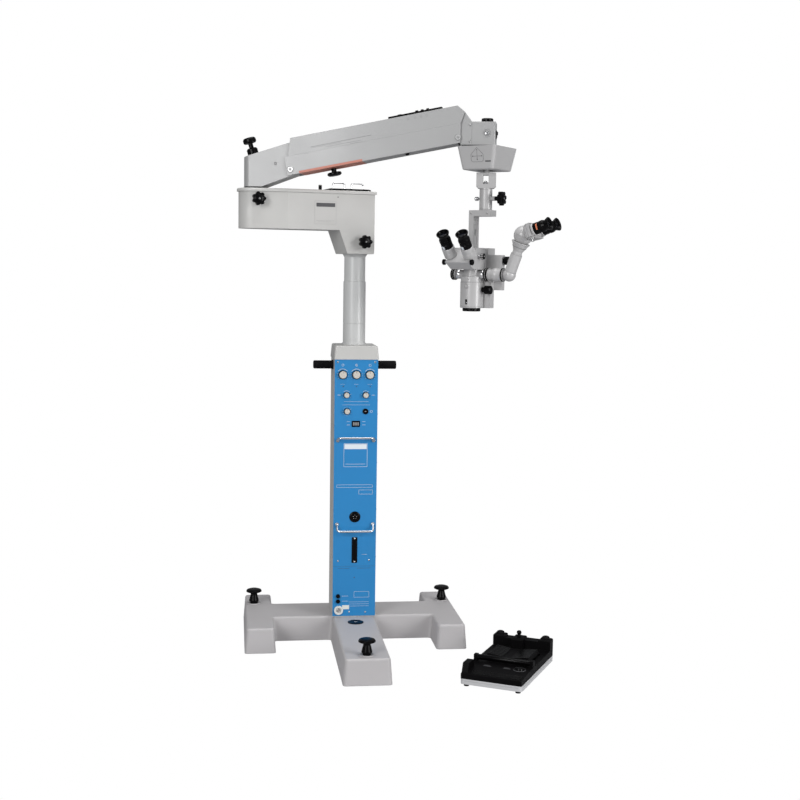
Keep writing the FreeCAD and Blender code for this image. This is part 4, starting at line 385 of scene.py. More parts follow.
def makeStage():
    """A pale floor that is pure white to the camera alone."""
    reach = 14
    drop = 0.001
    shape = bmesh.new()
    shape.faces.new([shape.verts.new((x * reach, y * reach, -drop)) for x, y in rectangle(-1, 1, -1, 1)])
    mesh = bpy.data.meshes.new("floor")
    shape.to_mesh(mesh)
    shape.free()
    floor = bpy.data.objects.new("floor", mesh)
    scene.collection.objects.link(floor)
    material = bpy.data.materials.new("floorWhite")
    material.use_nodes = True
    tree = material.node_tree
    shader = tree.nodes["Principled BSDF"]
    setInputs(shader, {"Base Color": (0.42, 0.42, 0.43, 1), "Roughness": 0.9})
    light = addNode(tree, "ShaderNodeEmission", {"Color": (1, 1, 1, 1), "Strength": 1})
    showToCamera(tree, shader.outputs["BSDF"], light.outputs["Emission"], tree.nodes["Material Output"])
    mesh.materials.append(material)


def makeWorld():
    """Dim, slightly blue light from all round, pure white to the camera alone."""
    world = bpy.data.worlds.new("studio")
    scene.world = world
    world.use_nodes = True
    tree = world.node_tree
    background = tree.nodes["Background"]
    setInputs(background, {"Color": (0.9, 0.92, 0.95, 1), "Strength": 0.29})
    white = addNode(tree, "ShaderNodeBackground", {"Strength": 1, "Color": (1, 1, 1, 1)})
    showToCamera(tree, background.outputs["Background"], white.outputs["Background"],
                 tree.nodes["World Output"])


def makeLamp(name, place, aim, size, power):
    data = bpy.data.lights.new(name, "AREA")
    data.shape = "RECTANGLE"
    data.size = size[0]
    data.size_y = size[1]
    data.energy = power
    lamp = bpy.data.objects.new(name, data)
    scene.collection.objects.link(lamp)
    lamp.location = place
    lamp.rotation_euler = (Vector(aim) - Vector(place)).to_track_quat("-Z", "Y").to_euler()


def makeCamera():
    """The camera: its place in metres and its angles in degrees."""
    view = {"place": (-0.455, -4.884, 1.411), "down": 5.78, "right": 7.42, "roll": 0.85, "focalPixels": 1282}
    down = math.radians(view["down"])
    aside = math.radians(view["right"])
    roll = math.radians(view["roll"])
    forward = Vector((math.sin(aside) * math.cos(down), math.cos(aside) * math.cos(down), -math.sin(down)))
    level = Vector((math.cos(aside), -math.sin(aside), 0))
    rise = level.cross(forward)
    cameraX = level * math.cos(roll) + rise * math.sin(roll)
    cameraY = rise * math.cos(roll) - level * math.sin(roll)
    data = bpy.data.cameras.new("camera")
    data.sensor_width = 36
    data.lens = view["focalPixels"] / 800 * data.sensor_width
    camera = bpy.data.objects.new("camera", data)
    scene.collection.objects.link(camera)
    turn = Matrix((cameraX, cameraY, -forward)).transposed().to_4x4()
    camera.matrix_world = Matrix.Translation(view["place"]) @ turn
    scene.camera = camera


makeStage()
makeWorld()
makeLamp("keyLight", (-2.9, -4.4, 2.5), (0, -0.1, 0.9), (1.7, 2.6), 138)
makeLamp("fillLight", (3.6, -3.6, 1.9), (0.1, -0.2, 0.9), (1.6, 2.6), 138)
makeLamp("topLight", (0.3, -0.4, 4.4), (0, 0, 1), (2.4, 2.4), 82)
makeCamera()
scene.view_settings.view_transform = "Standard"
print("stage ready")


# Control panel

def makePanelKnob(node, body, joint):
    """A cream cap in a knurled dark ring, standing on the panel."""
    low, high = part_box(node)
    radius = (high.x - low.x) / 2 / mm
    place = onFace(stand, *(jointPlace(joint) / mm), nearSide)
    pieces = [lathe(node + "Base", [(0, 0.3), (radius * 0.98, 0.3), (radius * 0.98, 2.4),
                                    (radius * 0.86, 3.4), (radius * 0.84, 4), (0, 4)], "blackGloss", body,
                    place),
              prism(node + "Knurl", ribbedRing(120, radius * 0.8, radius * 0.84), 3.8, 10.5, "brushedSteel",
                    body, place, 0),
              lathe(node + "Cap", [(0, 10.4), (radius * 0.76, 10.4), (radius * 0.76, 13),
                                   (radius * 0.70, 14.2), (radius * 0.3, 14.6), (0, 14.6)], "cream", body,
                    place),
              prism(node + "Pointer", rectangle(-0.5, 0.5, radius * 0.3, radius * 0.7), 14.2, 14.7,
                    "darkPrint", body, place, 0)]
    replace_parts(joinPieces(node + "Look", pieces), node)


panelKnobs = [("lamp_knob_left", "left_lamp_knob"), ("lamp_knob_middle", "middle_lamp_knob"),
              ("lamp_knob_right", "right_lamp_knob"), ("trim_knob_left", "left_trim_knob"),
              ("trim_knob_right", "right_trim_knob"), ("selector_knob", "selector")]
for node, body in panelKnobs:
    makePanelKnob(node, body, body + "_turn")
print("panel knobs made")


# Flat print: thin shapes laid on a surface

def bar(start, end, width):
    """A straight stroke between two points."""
    along = Vector(end) - Vector(start)
    side = Vector((-along.y, along.x)).normalized() * width / 2
    corners = (Vector(start) - side, Vector(end) - side, Vector(end) + side, Vector(start) + side)
    return [tuple(corner) for corner in corners]


def arcBar(centre, radius, width, first, last, steps=24):
    """A curved stroke between two angles in degrees."""
    angles = [math.radians(first + (last - first) * k / steps) for k in range(steps + 1)]
    outer = [(centre[0] + (radius + width / 2) * math.cos(a), centre[1] + (radius + width / 2) * math.sin(a))
             for a in angles]
    inner = [(centre[0] + (radius - width / 2) * math.cos(a), centre[1] + (radius - width / 2) * math.sin(a))
             for a in reversed(angles)]
    return outer + inner


def disc(centre, radius, steps=24):
    """A round outline."""
    turns = [math.tau * k / steps for k in range(steps)]
    return [(centre[0] + radius * math.cos(turn), centre[1] + radius * math.sin(turn)) for turn in turns]


def frameBars(left, right, low, high, width):
    """The four strokes of a rectangle."""
    return [bar((left, low), (right, low), width), bar((right, low), (right, high), width),
            bar((right, high), (left, high), width), bar((left, high), (left, low), width)]


def tickBars(centre, inner, outer, width, first, last, step):
    """Short strokes round a centre, from one angle in degrees to another."""
    strokes = []
    for angle in range(first, last, step):
        way = Vector((math.cos(math.radians(angle)), math.sin(math.radians(angle))))
        strokes.append(bar(Vector(centre) + way * inner, Vector(centre) + way * outer, width))
    return strokes


def printMarks(name, outlines, look, body, place, thickness=0.25):
    """Lays thin shapes on a surface, whose local z points outward."""
    shape = bmesh.new()
    for outline in outlines:
        low = [shape.verts.new((x * mm, y * mm, 0)) for x, y in outline]
        high = [shape.verts.new((x * mm, y * mm, thickness * mm)) for x, y in outline]
        shape.faces.new(high)
        shape.faces.new(list(reversed(low)))
        for k in range(len(low)):
            after = (k + 1) % len(low)
            shape.faces.new((low[k], low[after], high[after], high[k]))
    return finishPiece(shape, name, look, body, place, 20)


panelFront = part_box("front_panel")[0].y / mm
panelFace = onFace(stand, 0, panelFront, 0, nearSide)


def makePanelPrint():
    """White scales, rules and frames on the blue panel."""
    big = {"row": 1019, "pitch": 51, "scale": 21.5, "width": 1.6, "legend": 36}
    small = {"row": 942.5, "side": 36, "scale": 16, "width": 1.1}
    selector = {"row": 881, "side": -33.8}
    card = {"left": -44, "right": 44, "low": 671, "high": 759, "band": 21}
    strip = {"left": -70, "right": 66, "low": 592, "high": 602}
    above = big["row"] + big["legend"]
    below = big["row"] - big["legend"]
    marks = []
    for x in (-big["pitch"], 0, big["pitch"]):
        marks.append(arcBar((x, big["row"]), big["scale"], big["width"], 35, 145))
        marks += tickBars((x, big["row"]), 20.2, 22.8, 0.9, -40, 221, 26)
        marks.append(arcBar((x, above), 4.2, 1.1, 0, 359))
        marks += [bar((x + 6 * k - 2, below), (x + 6 * k + 2, below), 0.9) for k in (-1, 0, 1)]
    marks += [bar((-4, above), (4, above), 0.9), bar((0, above - 4), (0, above + 4), 0.9)]
    for side in (-1, 1):
        centre = (small["side"] * side, small["row"])
        marks.append(arcBar(centre, small["scale"], small["width"], 50, 130))
        marks += tickBars(centre, 14.6, 17, 0.8, -30, 211, 40)
        marks.append(bar((58 * side, small["row"]), (70 * side, small["row"]), 1.4))
    marks += tickBars((selector["side"], selector["row"]), 14.6, 17.2, 0.9, 30, 331, 30)
    marks.append(arcBar((58, selector["row"]), 4, 1.1, 0, 359))
    rules = [(-45, 46, 918, 0.8), (-52, 52, 905.5, 0.8), (-34, -22, 842, 1.2), (-34, -22, 830, 1.2),
             (24, 36, 842, 1.2), (24, 36, 830, 1.2)]
    marks += [bar((left, height), (right, height), width) for left, right, height, width in rules]
    marks += frameBars(card["left"], card["right"], card["low"], card["high"], 1.2)
    marks.append(rectangle(card["left"] + 2, card["right"] - 2, card["high"] - card["band"],
                           card["high"] - 2))
    marks.append(bar((card["left"] + 6, card["low"] + 10), (card["right"] - 6, card["low"] + 10), 1.1))
    marks += frameBars(strip["left"], strip["right"], strip["low"], strip["high"], 1)
    marks += frameBars(14, strip["right"], 566, 582, 1)
    marks.append(bar((28, 334), (48, 334), 1))
    marks += frameBars(0, 57, 168, 190, 0.9)
    marks += [bar((-20, height), (57, height), 0.8) for height in (150, 142, 134)]
    marks += [bar((-46, height), (-22, height), 1.1) for height in (173.4, 153.4)]
    printMarks("panelPrint", marks, "whitePrint", "stand", panelFace)
    dots = [disc((x, 975), 2) for x in (-49, 1, 53)] + [disc((0, 245), 2.2)]
    seams = [bar((-62, 281), (-18, 281), 1), bar((10, 281), (62, 281), 1), bar((-81, 289), (81, 289), 0.5)]
    printMarks("panelDots", dots + seams, "darkPrint", "stand", panelFace, 0.3)


def makePanelSockets():
    """Sockets, counter, slot strip, fuse holders and mains inlet, in full detail."""
    body = "stand"
    pieces = []
    lamp = {"x": 35.8, "z": 881}
    cable = {"x": 0, "z": 479, "pins": 5, "pinCircle": 7}
    counter = {"low": 828, "high": 840, "left": -11, "digits": 4, "pitch": 5.8, "width": 4.4}
    fuse = {"x": -61, "heights": (173.4, 153.4)}
    inlet = {"x": -58.5, "z": 118.5, "pins": 3, "pinCircle": 5.4}

    def turned(name, look, x, z, profile, steps=48):
        place = onFace(stand, x, panelFront, z, nearSide)
        pieces.append(lathe(name, profile, look, body, place, steps))

    def pinCircle(socket, lead):
        for k in range(socket["pins"]):
            angle = math.tau * k / socket["pins"] + lead
            yield (k, socket["x"] + socket["pinCircle"] * math.cos(angle),
                   socket["z"] + socket["pinCircle"] * math.sin(angle))

    turned("lampSocketRim", "blackGloss", lamp["x"], lamp["z"], [(0, 0), (11, 0), (11, 2.2), (9.6, 3),
                                                                 (6.6, 3), (6.2, 1), (0, 1)])
    turned("lampSocketPin", "brushedSteel", lamp["x"], lamp["z"], [(0, 1), (2, 1), (2, 2.6), (1.2, 3),
                                                                   (0, 3)], 24)
    turned("cableSocketRim", "blackGloss", cable["x"], cable["z"], [(0, 0), (21, 0), (21, 1.8), (19.5, 2.8),
                                                                    (16.5, 4.6), (14.6, 4.6), (14, 1.4),
                                                                    (0, 1.4)])
    for k, x, z in pinCircle(cable, 0.3):
        turned("cableSocketPin%d" % k, "brushedSteel", x, z, [(0, 1.2), (1.3, 1.2), (1.3, 3), (0, 3.3)], 12)
    pieces.append(prism("counterFrame", rectangle(-15.5, 15.5, 822.5, 845.5), 0, 2.6, "blackMatte", body,
                        panelFace, 1))
    lefts = [counter["left"] + k * counter["pitch"] for k in range(counter["digits"])]
    digits = [rectangle(left, left + counter["width"], counter["low"], counter["high"]) for left in lefts]
    pieces.append(printMarks("counterWheels", digits, "greyPrint", body, panelFace, 2.9))
    pieces.append(prism("slotStrip", rectangle(-10.5, 10.5, 302, 401), 0, 3, "blackGloss", body, panelFace,
                        1.2))
    pieces.append(prism("slotStripSlot", rectangle(-3.2, 3.2, 318, 386), 2.9, 3.15, "blackMatte", body,
                        panelFace, 0))
    for height in fuse["heights"]:
        turned("fuseHolder%d" % height, "blackGloss", fuse["x"], height, [(0, 0), (8, 0), (8, 4.5),
                                                                          (7.2, 5.2), (6.4, 7.6), (5.6, 8),
                                                                          (0, 8)], 32)
    turned("mainsInletRing", "whitePlastic", inlet["x"], inlet["z"], [(0, 0), (17.5, 0), (17.5, 5),
                                                                      (16, 7.4), (14, 8), (11.5, 7.6),
                                                                      (11, 3), (0, 3)])
    turned("mainsInletCore", "brushedSteel", inlet["x"], inlet["z"], [(0, 2.8), (8.4, 2.8), (8.4, 4),
                                                                      (7.4, 4.6), (3.6, 4.6), (3.2, 3.2),
                                                                      (0, 3.2)], 32)
    for k, x, z in pinCircle(inlet, 0.5):
        turned("mainsInletPin%d" % k, "darkPrint", x, z, [(0, 3), (1.1, 3), (1.1, 5.6), (0, 6)], 12)
    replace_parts(joinPieces("panelSocketLook", pieces), "panel_sockets")
    prism("plateBlank", rectangle(-45, -18, 122, 138), 0, 0.8, "whitePlastic", body, panelFace, 0.3)


def makePanelScrews():
    """Screws on the panel and the column's sides, and two latches on the left."""
    strip = {"x": 0, "depth": 3.1}
    side = {"behindPanel": 10, "latchBehindPanel": 7}
    places = [(-62.6, 310), (56, 312), (-17.8, 111.7), (43.6, 110.5), (-70, 1066), (70, 1066), (0, 396),
              (0, 307)]
    for index, (x, z) in enumerate(places):
        lift = strip["depth"] if x == strip["x"] else 0
        screw("panelScrew%d" % index, "stand", onFace(stand, x, panelFront - lift, z, nearSide), 3.4)
    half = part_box("column_housing")[1].x / mm
    for way in (-1, 1):
        for index, height in enumerate((870, 686, 506, 322)):
            place = onFace(stand, half * way, panelFront + side["behindPanel"], height, (way, 0, 0))
            screw("sideScrew%d_%d" % (way, index), "stand", place, 3)
    for index, height in enumerate((831, 821)):
        place = onFace(stand, -half, panelFront + side["latchBehindPanel"], height, (-1, 0, 0))
        prism("sideLatch%d" % index, rectangle(-6, 4, -1.6, 1.6), 0, 5, "brushedSteel", "stand", place, 0.8)


makePanelPrint()
makePanelSockets()
makePanelScrews()
print("control panel made")


# Base and grips

def makeLevel():
    """The round level's black rim, dark glass and white ring."""
    low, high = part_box("bubble_level")
    radius = (high.x - low.x) / 2 / mm
    centre = (low + high) / 2
    place = Matrix.Translation((centre.x, centre.y, low.z))
    rim = lathe("levelRim", [(0, 0), (radius, 0), (radius, 1.6), (radius * 0.94, 2.6), (radius * 0.72, 3),
                             (radius * 0.62, 2.4), (radius * 0.6, 1.4), (0, 1.4)], "blackGloss", "stand",
                place)
    glass = lathe("levelGlass", [(radius * 0.58, 1.4), (radius * 0.4, 2.1), (radius * 0.2, 2.5), (0, 2.6)],
                  "blackGloss", "stand", place)
    ring = lathe("levelRing", [(4.4, 2.42), (5.2, 2.38), (5.2, 2.62), (4.4, 2.66)], "whitePrint", "stand",
                 place, 32)
    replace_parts(joinPieces("levelLook", [rim, glass, ring]), "bubble_level")


def makeJackWashers():
    """A painted washer round each jack's sleeve, sunk a little into the casting's boss."""
    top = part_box("base_casting")[1].z / mm
    for name in ("left_jack", "right_jack", "front_jack"):
        low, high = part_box("jack_" + name.split("_")[0])
        centre = (low + high) / 2
        place = Matrix.Translation((centre.x, centre.y, (top - 2) * mm))
        lathe(name + "Washer", [(19.6, 0), (26, 0), (26, 1.5), (24.4, 3), (20.4, 3.2), (19.6, 2.8)],
              "basePaint", "stand", place)


def makeGrips():
    """Ribbed rubber sleeves on the push grips."""
    low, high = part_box("push_grips")
    height = (low.z + high.z) / 2
    front = (low.y + high.y) / 2
    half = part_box("column_housing")[1].x
    pieces = []
    for side in (-1, 1):
        turn = Matrix.Rotation(math.radians(90 * side), 4, "Y")
        place = Matrix.Translation((half * side, front, height)) @ turn
        length = (high.x - half) / mm
        profile = [(0, 0), (17.2, 0), (17.2, 5), (15.4, 6)]
        groove = 6
        while groove < length - 8:
            profile += [(15.8, groove + 0.6), (15.8, groove + 3), (15.2, groove + 3.4)]
            groove += 3.8
        profile += [(15.8, groove + 0.6), (15.8, length - 4), (14.6, length - 1.2), (12, length), (0, length)]
        pieces.append(lathe("grip%d" % side, profile, "rubber", "stand", place))
    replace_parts(joinPieces("gripLook", pieces), "push_grips")


makeLevel()
makeJackWashers()
makeGrips()
print("base and grips made")


# Arms

def makeLowerArmTrim():
    """A framed blank label, and the strip, peg and screws on the cover's top."""
    body = "lower_arm"
    housing = {"front": -75, "pegHeight": 20}
    label = {"left": -181, "right": -99, "low": 1577, "high": 1661}
    front = onFace(armFrame, 0, housing["front"], 0, nearSide)
    marks = frameBars(label["left"], label["right"], label["low"], label["high"], 0.6)
    marks.append(bar((label["left"] + 6, label["low"] + 12), (label["right"] - 6, label["low"] + 12), 0.8))
    marks.append(bar((label["left"] + 12, label["low"] + 8), (label["right"] - 20, label["low"] + 8), 0.6))
    printMarks("armPlateOutline", marks, "softPrint", body, front)
    band = rectangle(label["left"] + 6, label["right"] - 4, label["high"] - 21, label["high"] - 7)
    printMarks("armPlateBand", [band], "darkPrint", body, front, 0.3)
    printMarks("armDot", [disc((-92, 1677), 2.2)], "darkPrint", body, front)
    top = armFrame @ shift(0, 0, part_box("lower_arm_cover")[1].z / mm - housing["pegHeight"])
    prism("armTopStrip", rectangle(-243, -175, -30, -20), 0, 2.2, "blackMatte", body, top, 0.6)
    lathe("armPeg", [(0, 0), (8, 0), (8, 2), (6.3, 3), (6.3, 17), (5.4, 20), (0, 20)], "blackGloss", body,
          top @ shift(-151, -40, 0), 32)
    for x, y in ((-320, 30), (-300, -44), (-60, 66), (30, 66), (30, -66), (-390, 40)):
        screw("armTopScrew%d" % abs(x + y), body, top @ shift(x, y, 0), 3)


def makeCasingTrim():
    """Rules, marks and the red stripe on the casing, and the rings of its pivot pins."""
    body = "casing"
    side = {"half": 50, "bottom": -20}
    pins = {"rear": 0, "front": 617.3, "reach": 52.2}
    near = onFace(casingFrame, 0, -side["half"], 0, nearSide)
    lines = [bar((88, 64.5), (312, 65.5), 1.6), bar((88, 60.5), (200, 61), 0.7),
             bar((140, 55), (273, 55), 0.9), bar((232, 50), (262, 50), 0.7), bar((60, 44), (76, 44), 0.7)]
    for x in (453, 478, 500, 519.5):
        lines += [arcBar((x, 96), 2.6, 0.8, 180, 360), bar((x - 2.6, 96), (x - 2.6, 101), 0.8),
                  bar((x + 2.6, 96), (x + 2.6, 101), 0.8)]
    printMarks("casingPrint", lines, "greyPrint", body, near)
    printMarks("casingStripe", [rectangle(30, 265, -19.6, -11.5)], "redStripe", body, near, 0.5)
    under = casingFrame @ shift(0, 0, side["bottom"]) @ Matrix.Rotation(math.pi, 4, "X")
    prism("casingUnderStripe", rectangle(32, 265, -49.6, 49.6), 0, 0.6, "redStripe", body, under, 0.2)
    lathe("casingStop", [(0, 0), (8, 0), (8, 2), (6, 5.5), (3, 7), (0, 7)], "blackGloss", body,
          under @ shift(427, 30, 0), 32)
    for x in (pins["rear"], pins["front"]):
        for way in (-1, 1):
            place = onFace(casingFrame, x, pins["reach"] * way, 0, (0, way, 0))
            name = "%d_%d" % (x, way)
            lathe("pivotRing" + name, [(9.5, -1.9), (11, -1.9), (11, -1.2), (9.5, -0.9)], "greyPrint", body,
                  place, 40)
            lathe("pivotFace" + name, [(6.4, -0.2), (8.6, -0.2), (8.3, 0.25), (6.6, 0.25)], "brushedSteel",
                  body, place, 40)
            printMarks("pivotSlot" + name, [bar((-6, 1), (6, -1), 1.6)], "greyPrint", body, place, 0.3)


def makeFrontTrim():
    """Seam, ringed screws and a toggle on the front housing, and a tab on the casing's slope."""
    body = "front_body"
    housing = {"near": -42, "front": 887, "seam": 803.6}
    near = onFace(upperFrame, 0, housing["near"], 0, nearSide)
    seam = bar((housing["seam"], 1860), (housing["seam"], 1937), 0.9)
    printMarks("frontSeam", [seam], "greyPrint", body, near)
    for index, (x, z) in enumerate(((796, 1928), (797, 1869))):
        place = onFace(upperFrame, x, housing["near"], z, nearSide)
        lathe("frontScrewRing%d" % index, [(3.6, 0), (4.6, 0), (4.6, 0.4), (3.6, 0.5)], "greyPrint", body,
              place, 32)
        screw("frontScrew%d" % index, body, place, 3.4)
    toggle = onFace(upperFrame, housing["front"], 0, 1897, (1, 0, 0))
    pieces = [prism("togglePlate", rectangle(-11, 11, -15, 15), 0, 2.4, "blackMatte", body, toggle, 0.8),
              prism("toggleRocker", rectangle(-7, 7, -2, 11), 2.2, 6.5, "blackGloss", body, toggle, 1.2),
              prism("toggleStep", rectangle(-7, 7, -10, -3), 2.2, 4, "blackGloss", body, toggle, 0.8)]
    joinPieces("frontToggle", pieces)
    tab = casingFrame @ shift(637, -14, 97) @ Matrix.Rotation(math.radians(50), 4, "Y")
    prism("slopeTab", rectangle(-9, 9, -9, 9), -1.5, 2.2, "blackMatte", "casing", tab, 0.8)


def makeHeadTrim():
    """A plain outline with arrows, and a small label, on the drafted front of the cross-slide housing."""
    body = "cross_head"
    front = {"x": 3, "y": -86, "drop": 28, "reach": 52, "draft": 10}
    draft = math.radians(front["draft"])
    y = front["y"] + front["reach"] * math.tan(draft)
    z = jointPlace("head_swing").z / mm - front["drop"] - front["reach"]
    face = onFace(headFrame, front["x"], y, z, (0, -math.cos(draft), -math.sin(draft)))
    house = [(-24, 3), (-24, 22), (0, 46), (24, 22), (24, 3), (22, -2), (17, -4), (-17, -4), (-22, -2)]
    strokes = [bar(house[k], house[(k + 1) % len(house)], 0.9) for k in range(len(house))]
    strokes += [bar((0, 2), (0, 40), 0.9), bar((-20, 16), (20, 16), 0.9)]
    for way in ((0, 40, 0, -1), (0, 2, 0, 1), (-20, 16, 1, 0), (20, 16, -1, 0)):
        tip = Vector(way[:2])
        back = Vector(way[2:])
        side = Vector((-back.y, back.x))
        strokes += [bar(tip, tip + back * 4 + side * 2.4 * turn, 0.9) for turn in (-1, 1)]
    printMarks("headPictogram", strokes, "darkPrint", body, face)
    printMarks("headLabel", [rectangle(31, 53, -5, -0.5)], "darkPrint", body, face)


makeLowerArmTrim()
makeCasingTrim()
makeFrontTrim()
makeHeadTrim()
print("arm trim made")


# Lamp drawer, microscope head and suspension

def makeHeadKnob():
    """A ribbed black cap with a bright centre screw on the head's clamp."""
    body = "head_clamp"
    neckAboveHousing = 81
    low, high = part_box("head_clamp_knob")
    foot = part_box("front_housing")[0].z / mm + neckAboveHousing
    centre = (low + high) / 2
    place = Matrix.Translation((centre.x, centre.y, foot * mm))
    height = high.z / mm - foot
    pieces = [lathe("headKnobBase", [(0, 0.4), (14.5, 0.4), (14.5, 3), (20, 4.5), (0, 4.5)], "blackGloss",
                    body, place),
              prism("headKnobGrip", ribbedRing(96, 20.9, 19.6, 4), 4.4, height - 2, "blackGloss", body,
                    place, 0),
              lathe("headKnobTop", [(0, height - 2), (19.4, height - 2), (18, height - 0.6),
                                    (8, height - 0.2), (7, height - 1.2), (0, height - 1.2)], "blackGloss",
                    body, place),
              lathe("headKnobScrew", [(0, height - 1.4), (4, height - 1.4), (3.4, height - 0.4),
                                      (0, height - 0.2)], "brushedSteel", body, place, 24)]
    joinPieces("headKnobLook", pieces)


def makeDrawer():
    """The lamp drawer: a black rimmed lid with two bright wire handles over a grey body."""
    body = "drawer"
    lid = {"left": -120, "right": 42, "half": 58, "low": 1702, "high": 1710}
    rim = 18
    pieces = [prism("drawerLid", rectangle(lid["left"], lid["right"], -lid["half"], lid["half"]),
                    lid["low"] + 0.1, lid["high"] - 1.4, "blackMatte", body, armFrame, 1.2),
              prism("drawerPad", rectangle(lid["left"] + 5, lid["right"] - 5, 5 - lid["half"],
                                           lid["half"] - 5), lid["high"] - 1.6, lid["high"], "blackGloss",
                    body, armFrame, 0.7),
              prism("drawerBody", rectangle(lid["left"] + rim, lid["right"] - rim, rim - lid["half"],
                                            lid["half"] - rim), 1627, lid["low"] + 0.2, "brushedSteel",
                    body, armFrame, 1.5)]
    wire = {"span": 46, "pitch": 72, "front": -30, "rise": 22, "radius": 2.6, "first": -76}
    for k in range(2):
        x = wire["first"] + wire["pitch"] * k
        half = wire["span"] / 2
        low = lid["high"] - 0.5
        high = lid["high"] + wire["rise"]
        points = [(x - half, wire["front"], low), (x - half, wire["front"], high),
                  (x + half, wire["front"], high), (x + half, wire["front"], low)]
        pieces.append(tube("drawerWire%d" % k, points, wire["radius"], "chrome", body, armFrame, 14, 10))
        for side in (-half, half):
            foot = armFrame @ shift(x + side, wire["front"], lid["high"])
            pieces.append(lathe("drawerWireFoot%d_%d" % (k, side), [(0, 0), (5, 0), (5, 1.2), (3, 2),
                                                                    (0, 2)], "brushedSteel", body, foot,
                                24))
    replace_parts(joinPieces("lampDrawerLook", pieces), "lamp_drawer")


def makeEyepiece(name, place, body, lead, length, label=None):
    """A black eyepiece with a ribbed setting ring and a flared eyecup, on a grey holder of the given lead."""
    def along(share):
        return lead + length * share

    pieces = [lathe(name + "Holder", [(0, 0), (21, 0), (22.5, 1.4), (22.5, lead * 0.5), (21.7, lead * 0.52),
                                      (21.7, lead * 0.56), (22.5, lead * 0.58), (22.5, lead - 2),
                                      (20.6, lead), (0, lead)], "greyPaint", body, place)]
    pieces.append(lathe(name + "Tube", [(0, lead), (20.4, lead), (20.4, along(0.27)), (19.2, along(0.29)),
                                        (19.2, along(0.35)), (20.3, along(0.37)), (20.3, along(0.6)),
                                        (17.4, along(0.7)), (18, along(0.76)), (21.8, along(0.9)),
                                        (23, along(0.94)), (23, along(1) - 1), (22, along(1)),
                                        (19, along(1)), (14.5, along(0.84)), (0, along(0.84))],
                        "blackGloss", body, place))
    pieces.append(prism(name + "Ribs", ribbedRing(72, 20, 20.9), along(0.42), along(0.56), "blackMatte",
                        body, place, 0))
    pieces.append(lathe(name + "Glass", [(0, along(0.855)), (9, along(0.85)), (12, along(0.842)),
                                         (0, along(0.842))], "lens", body, place))
    if label:
        pieces.append(curvedLabel(name + "Label", 20.55, label["low"] + lead, label["high"] + lead,
                                  label["angle"], label["spread"], label["look"], body, place))
    return pieces


def curvedLabel(name, radius, low, high, angle, spread, look, body, place):
    """A thin strip bent round a tube."""
    shape = bmesh.new()
    steps = 8
    rows = []
    for height in (low, high):
        row = []
        for k in range(steps + 1):
            turn = math.radians(angle + spread * (k / steps - 0.5))
            for reach in (radius - 0.3, radius):
                row.append(shape.verts.new((reach * mm * math.cos(turn), reach * mm * math.sin(turn),
                                            height * mm)))
        rows.append(row)
    for k in range(steps):
        a = 2 * k
        shape.faces.new((rows[0][a + 1], rows[0][a + 3], rows[1][a + 3], rows[1][a + 1]))
        for row in rows:
            shape.faces.new((row[a], row[a + 1], row[a + 3], row[a + 2]))
    return finishPiece(shape, name, look, body, place)


def makeBinocularEyepieces():
    """The two eyepieces, square to the binocular's sloping ridge."""
    seat = {"ridgeFront": 197, "ridgeHeight": 1442, "along": 35, "above": 0.3, "tilt": 50, "spacing": 75,
            "centre": -7}
    tilt = math.radians(seat["tilt"])
    y = -seat["ridgeFront"] + seat["along"] * math.sin(tilt) - seat["above"] * math.cos(tilt)
    z = seat["ridgeHeight"] + seat["along"] * math.cos(tilt) + seat["above"] * math.sin(tilt)
    turn = Matrix.Rotation(math.pi / 2 - tilt, 4, "X")
    for side, sign in (("left", -1), ("right", 1)):
        x = seat["centre"] + seat["spacing"] / 2 * sign
        place = headFrame @ shift(x, y, z) @ turn
        label = {"low": 2, "high": 14, "angle": 255, "spread": 30, "look": "whitePrint"}
        pieces = makeEyepiece("eyepiece" + side.title(), place, side + "_eyepiece", 40, 60, label)
        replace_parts(joinPieces("eyepieceLook" + side.title(), pieces), "eyepiece_" + side)


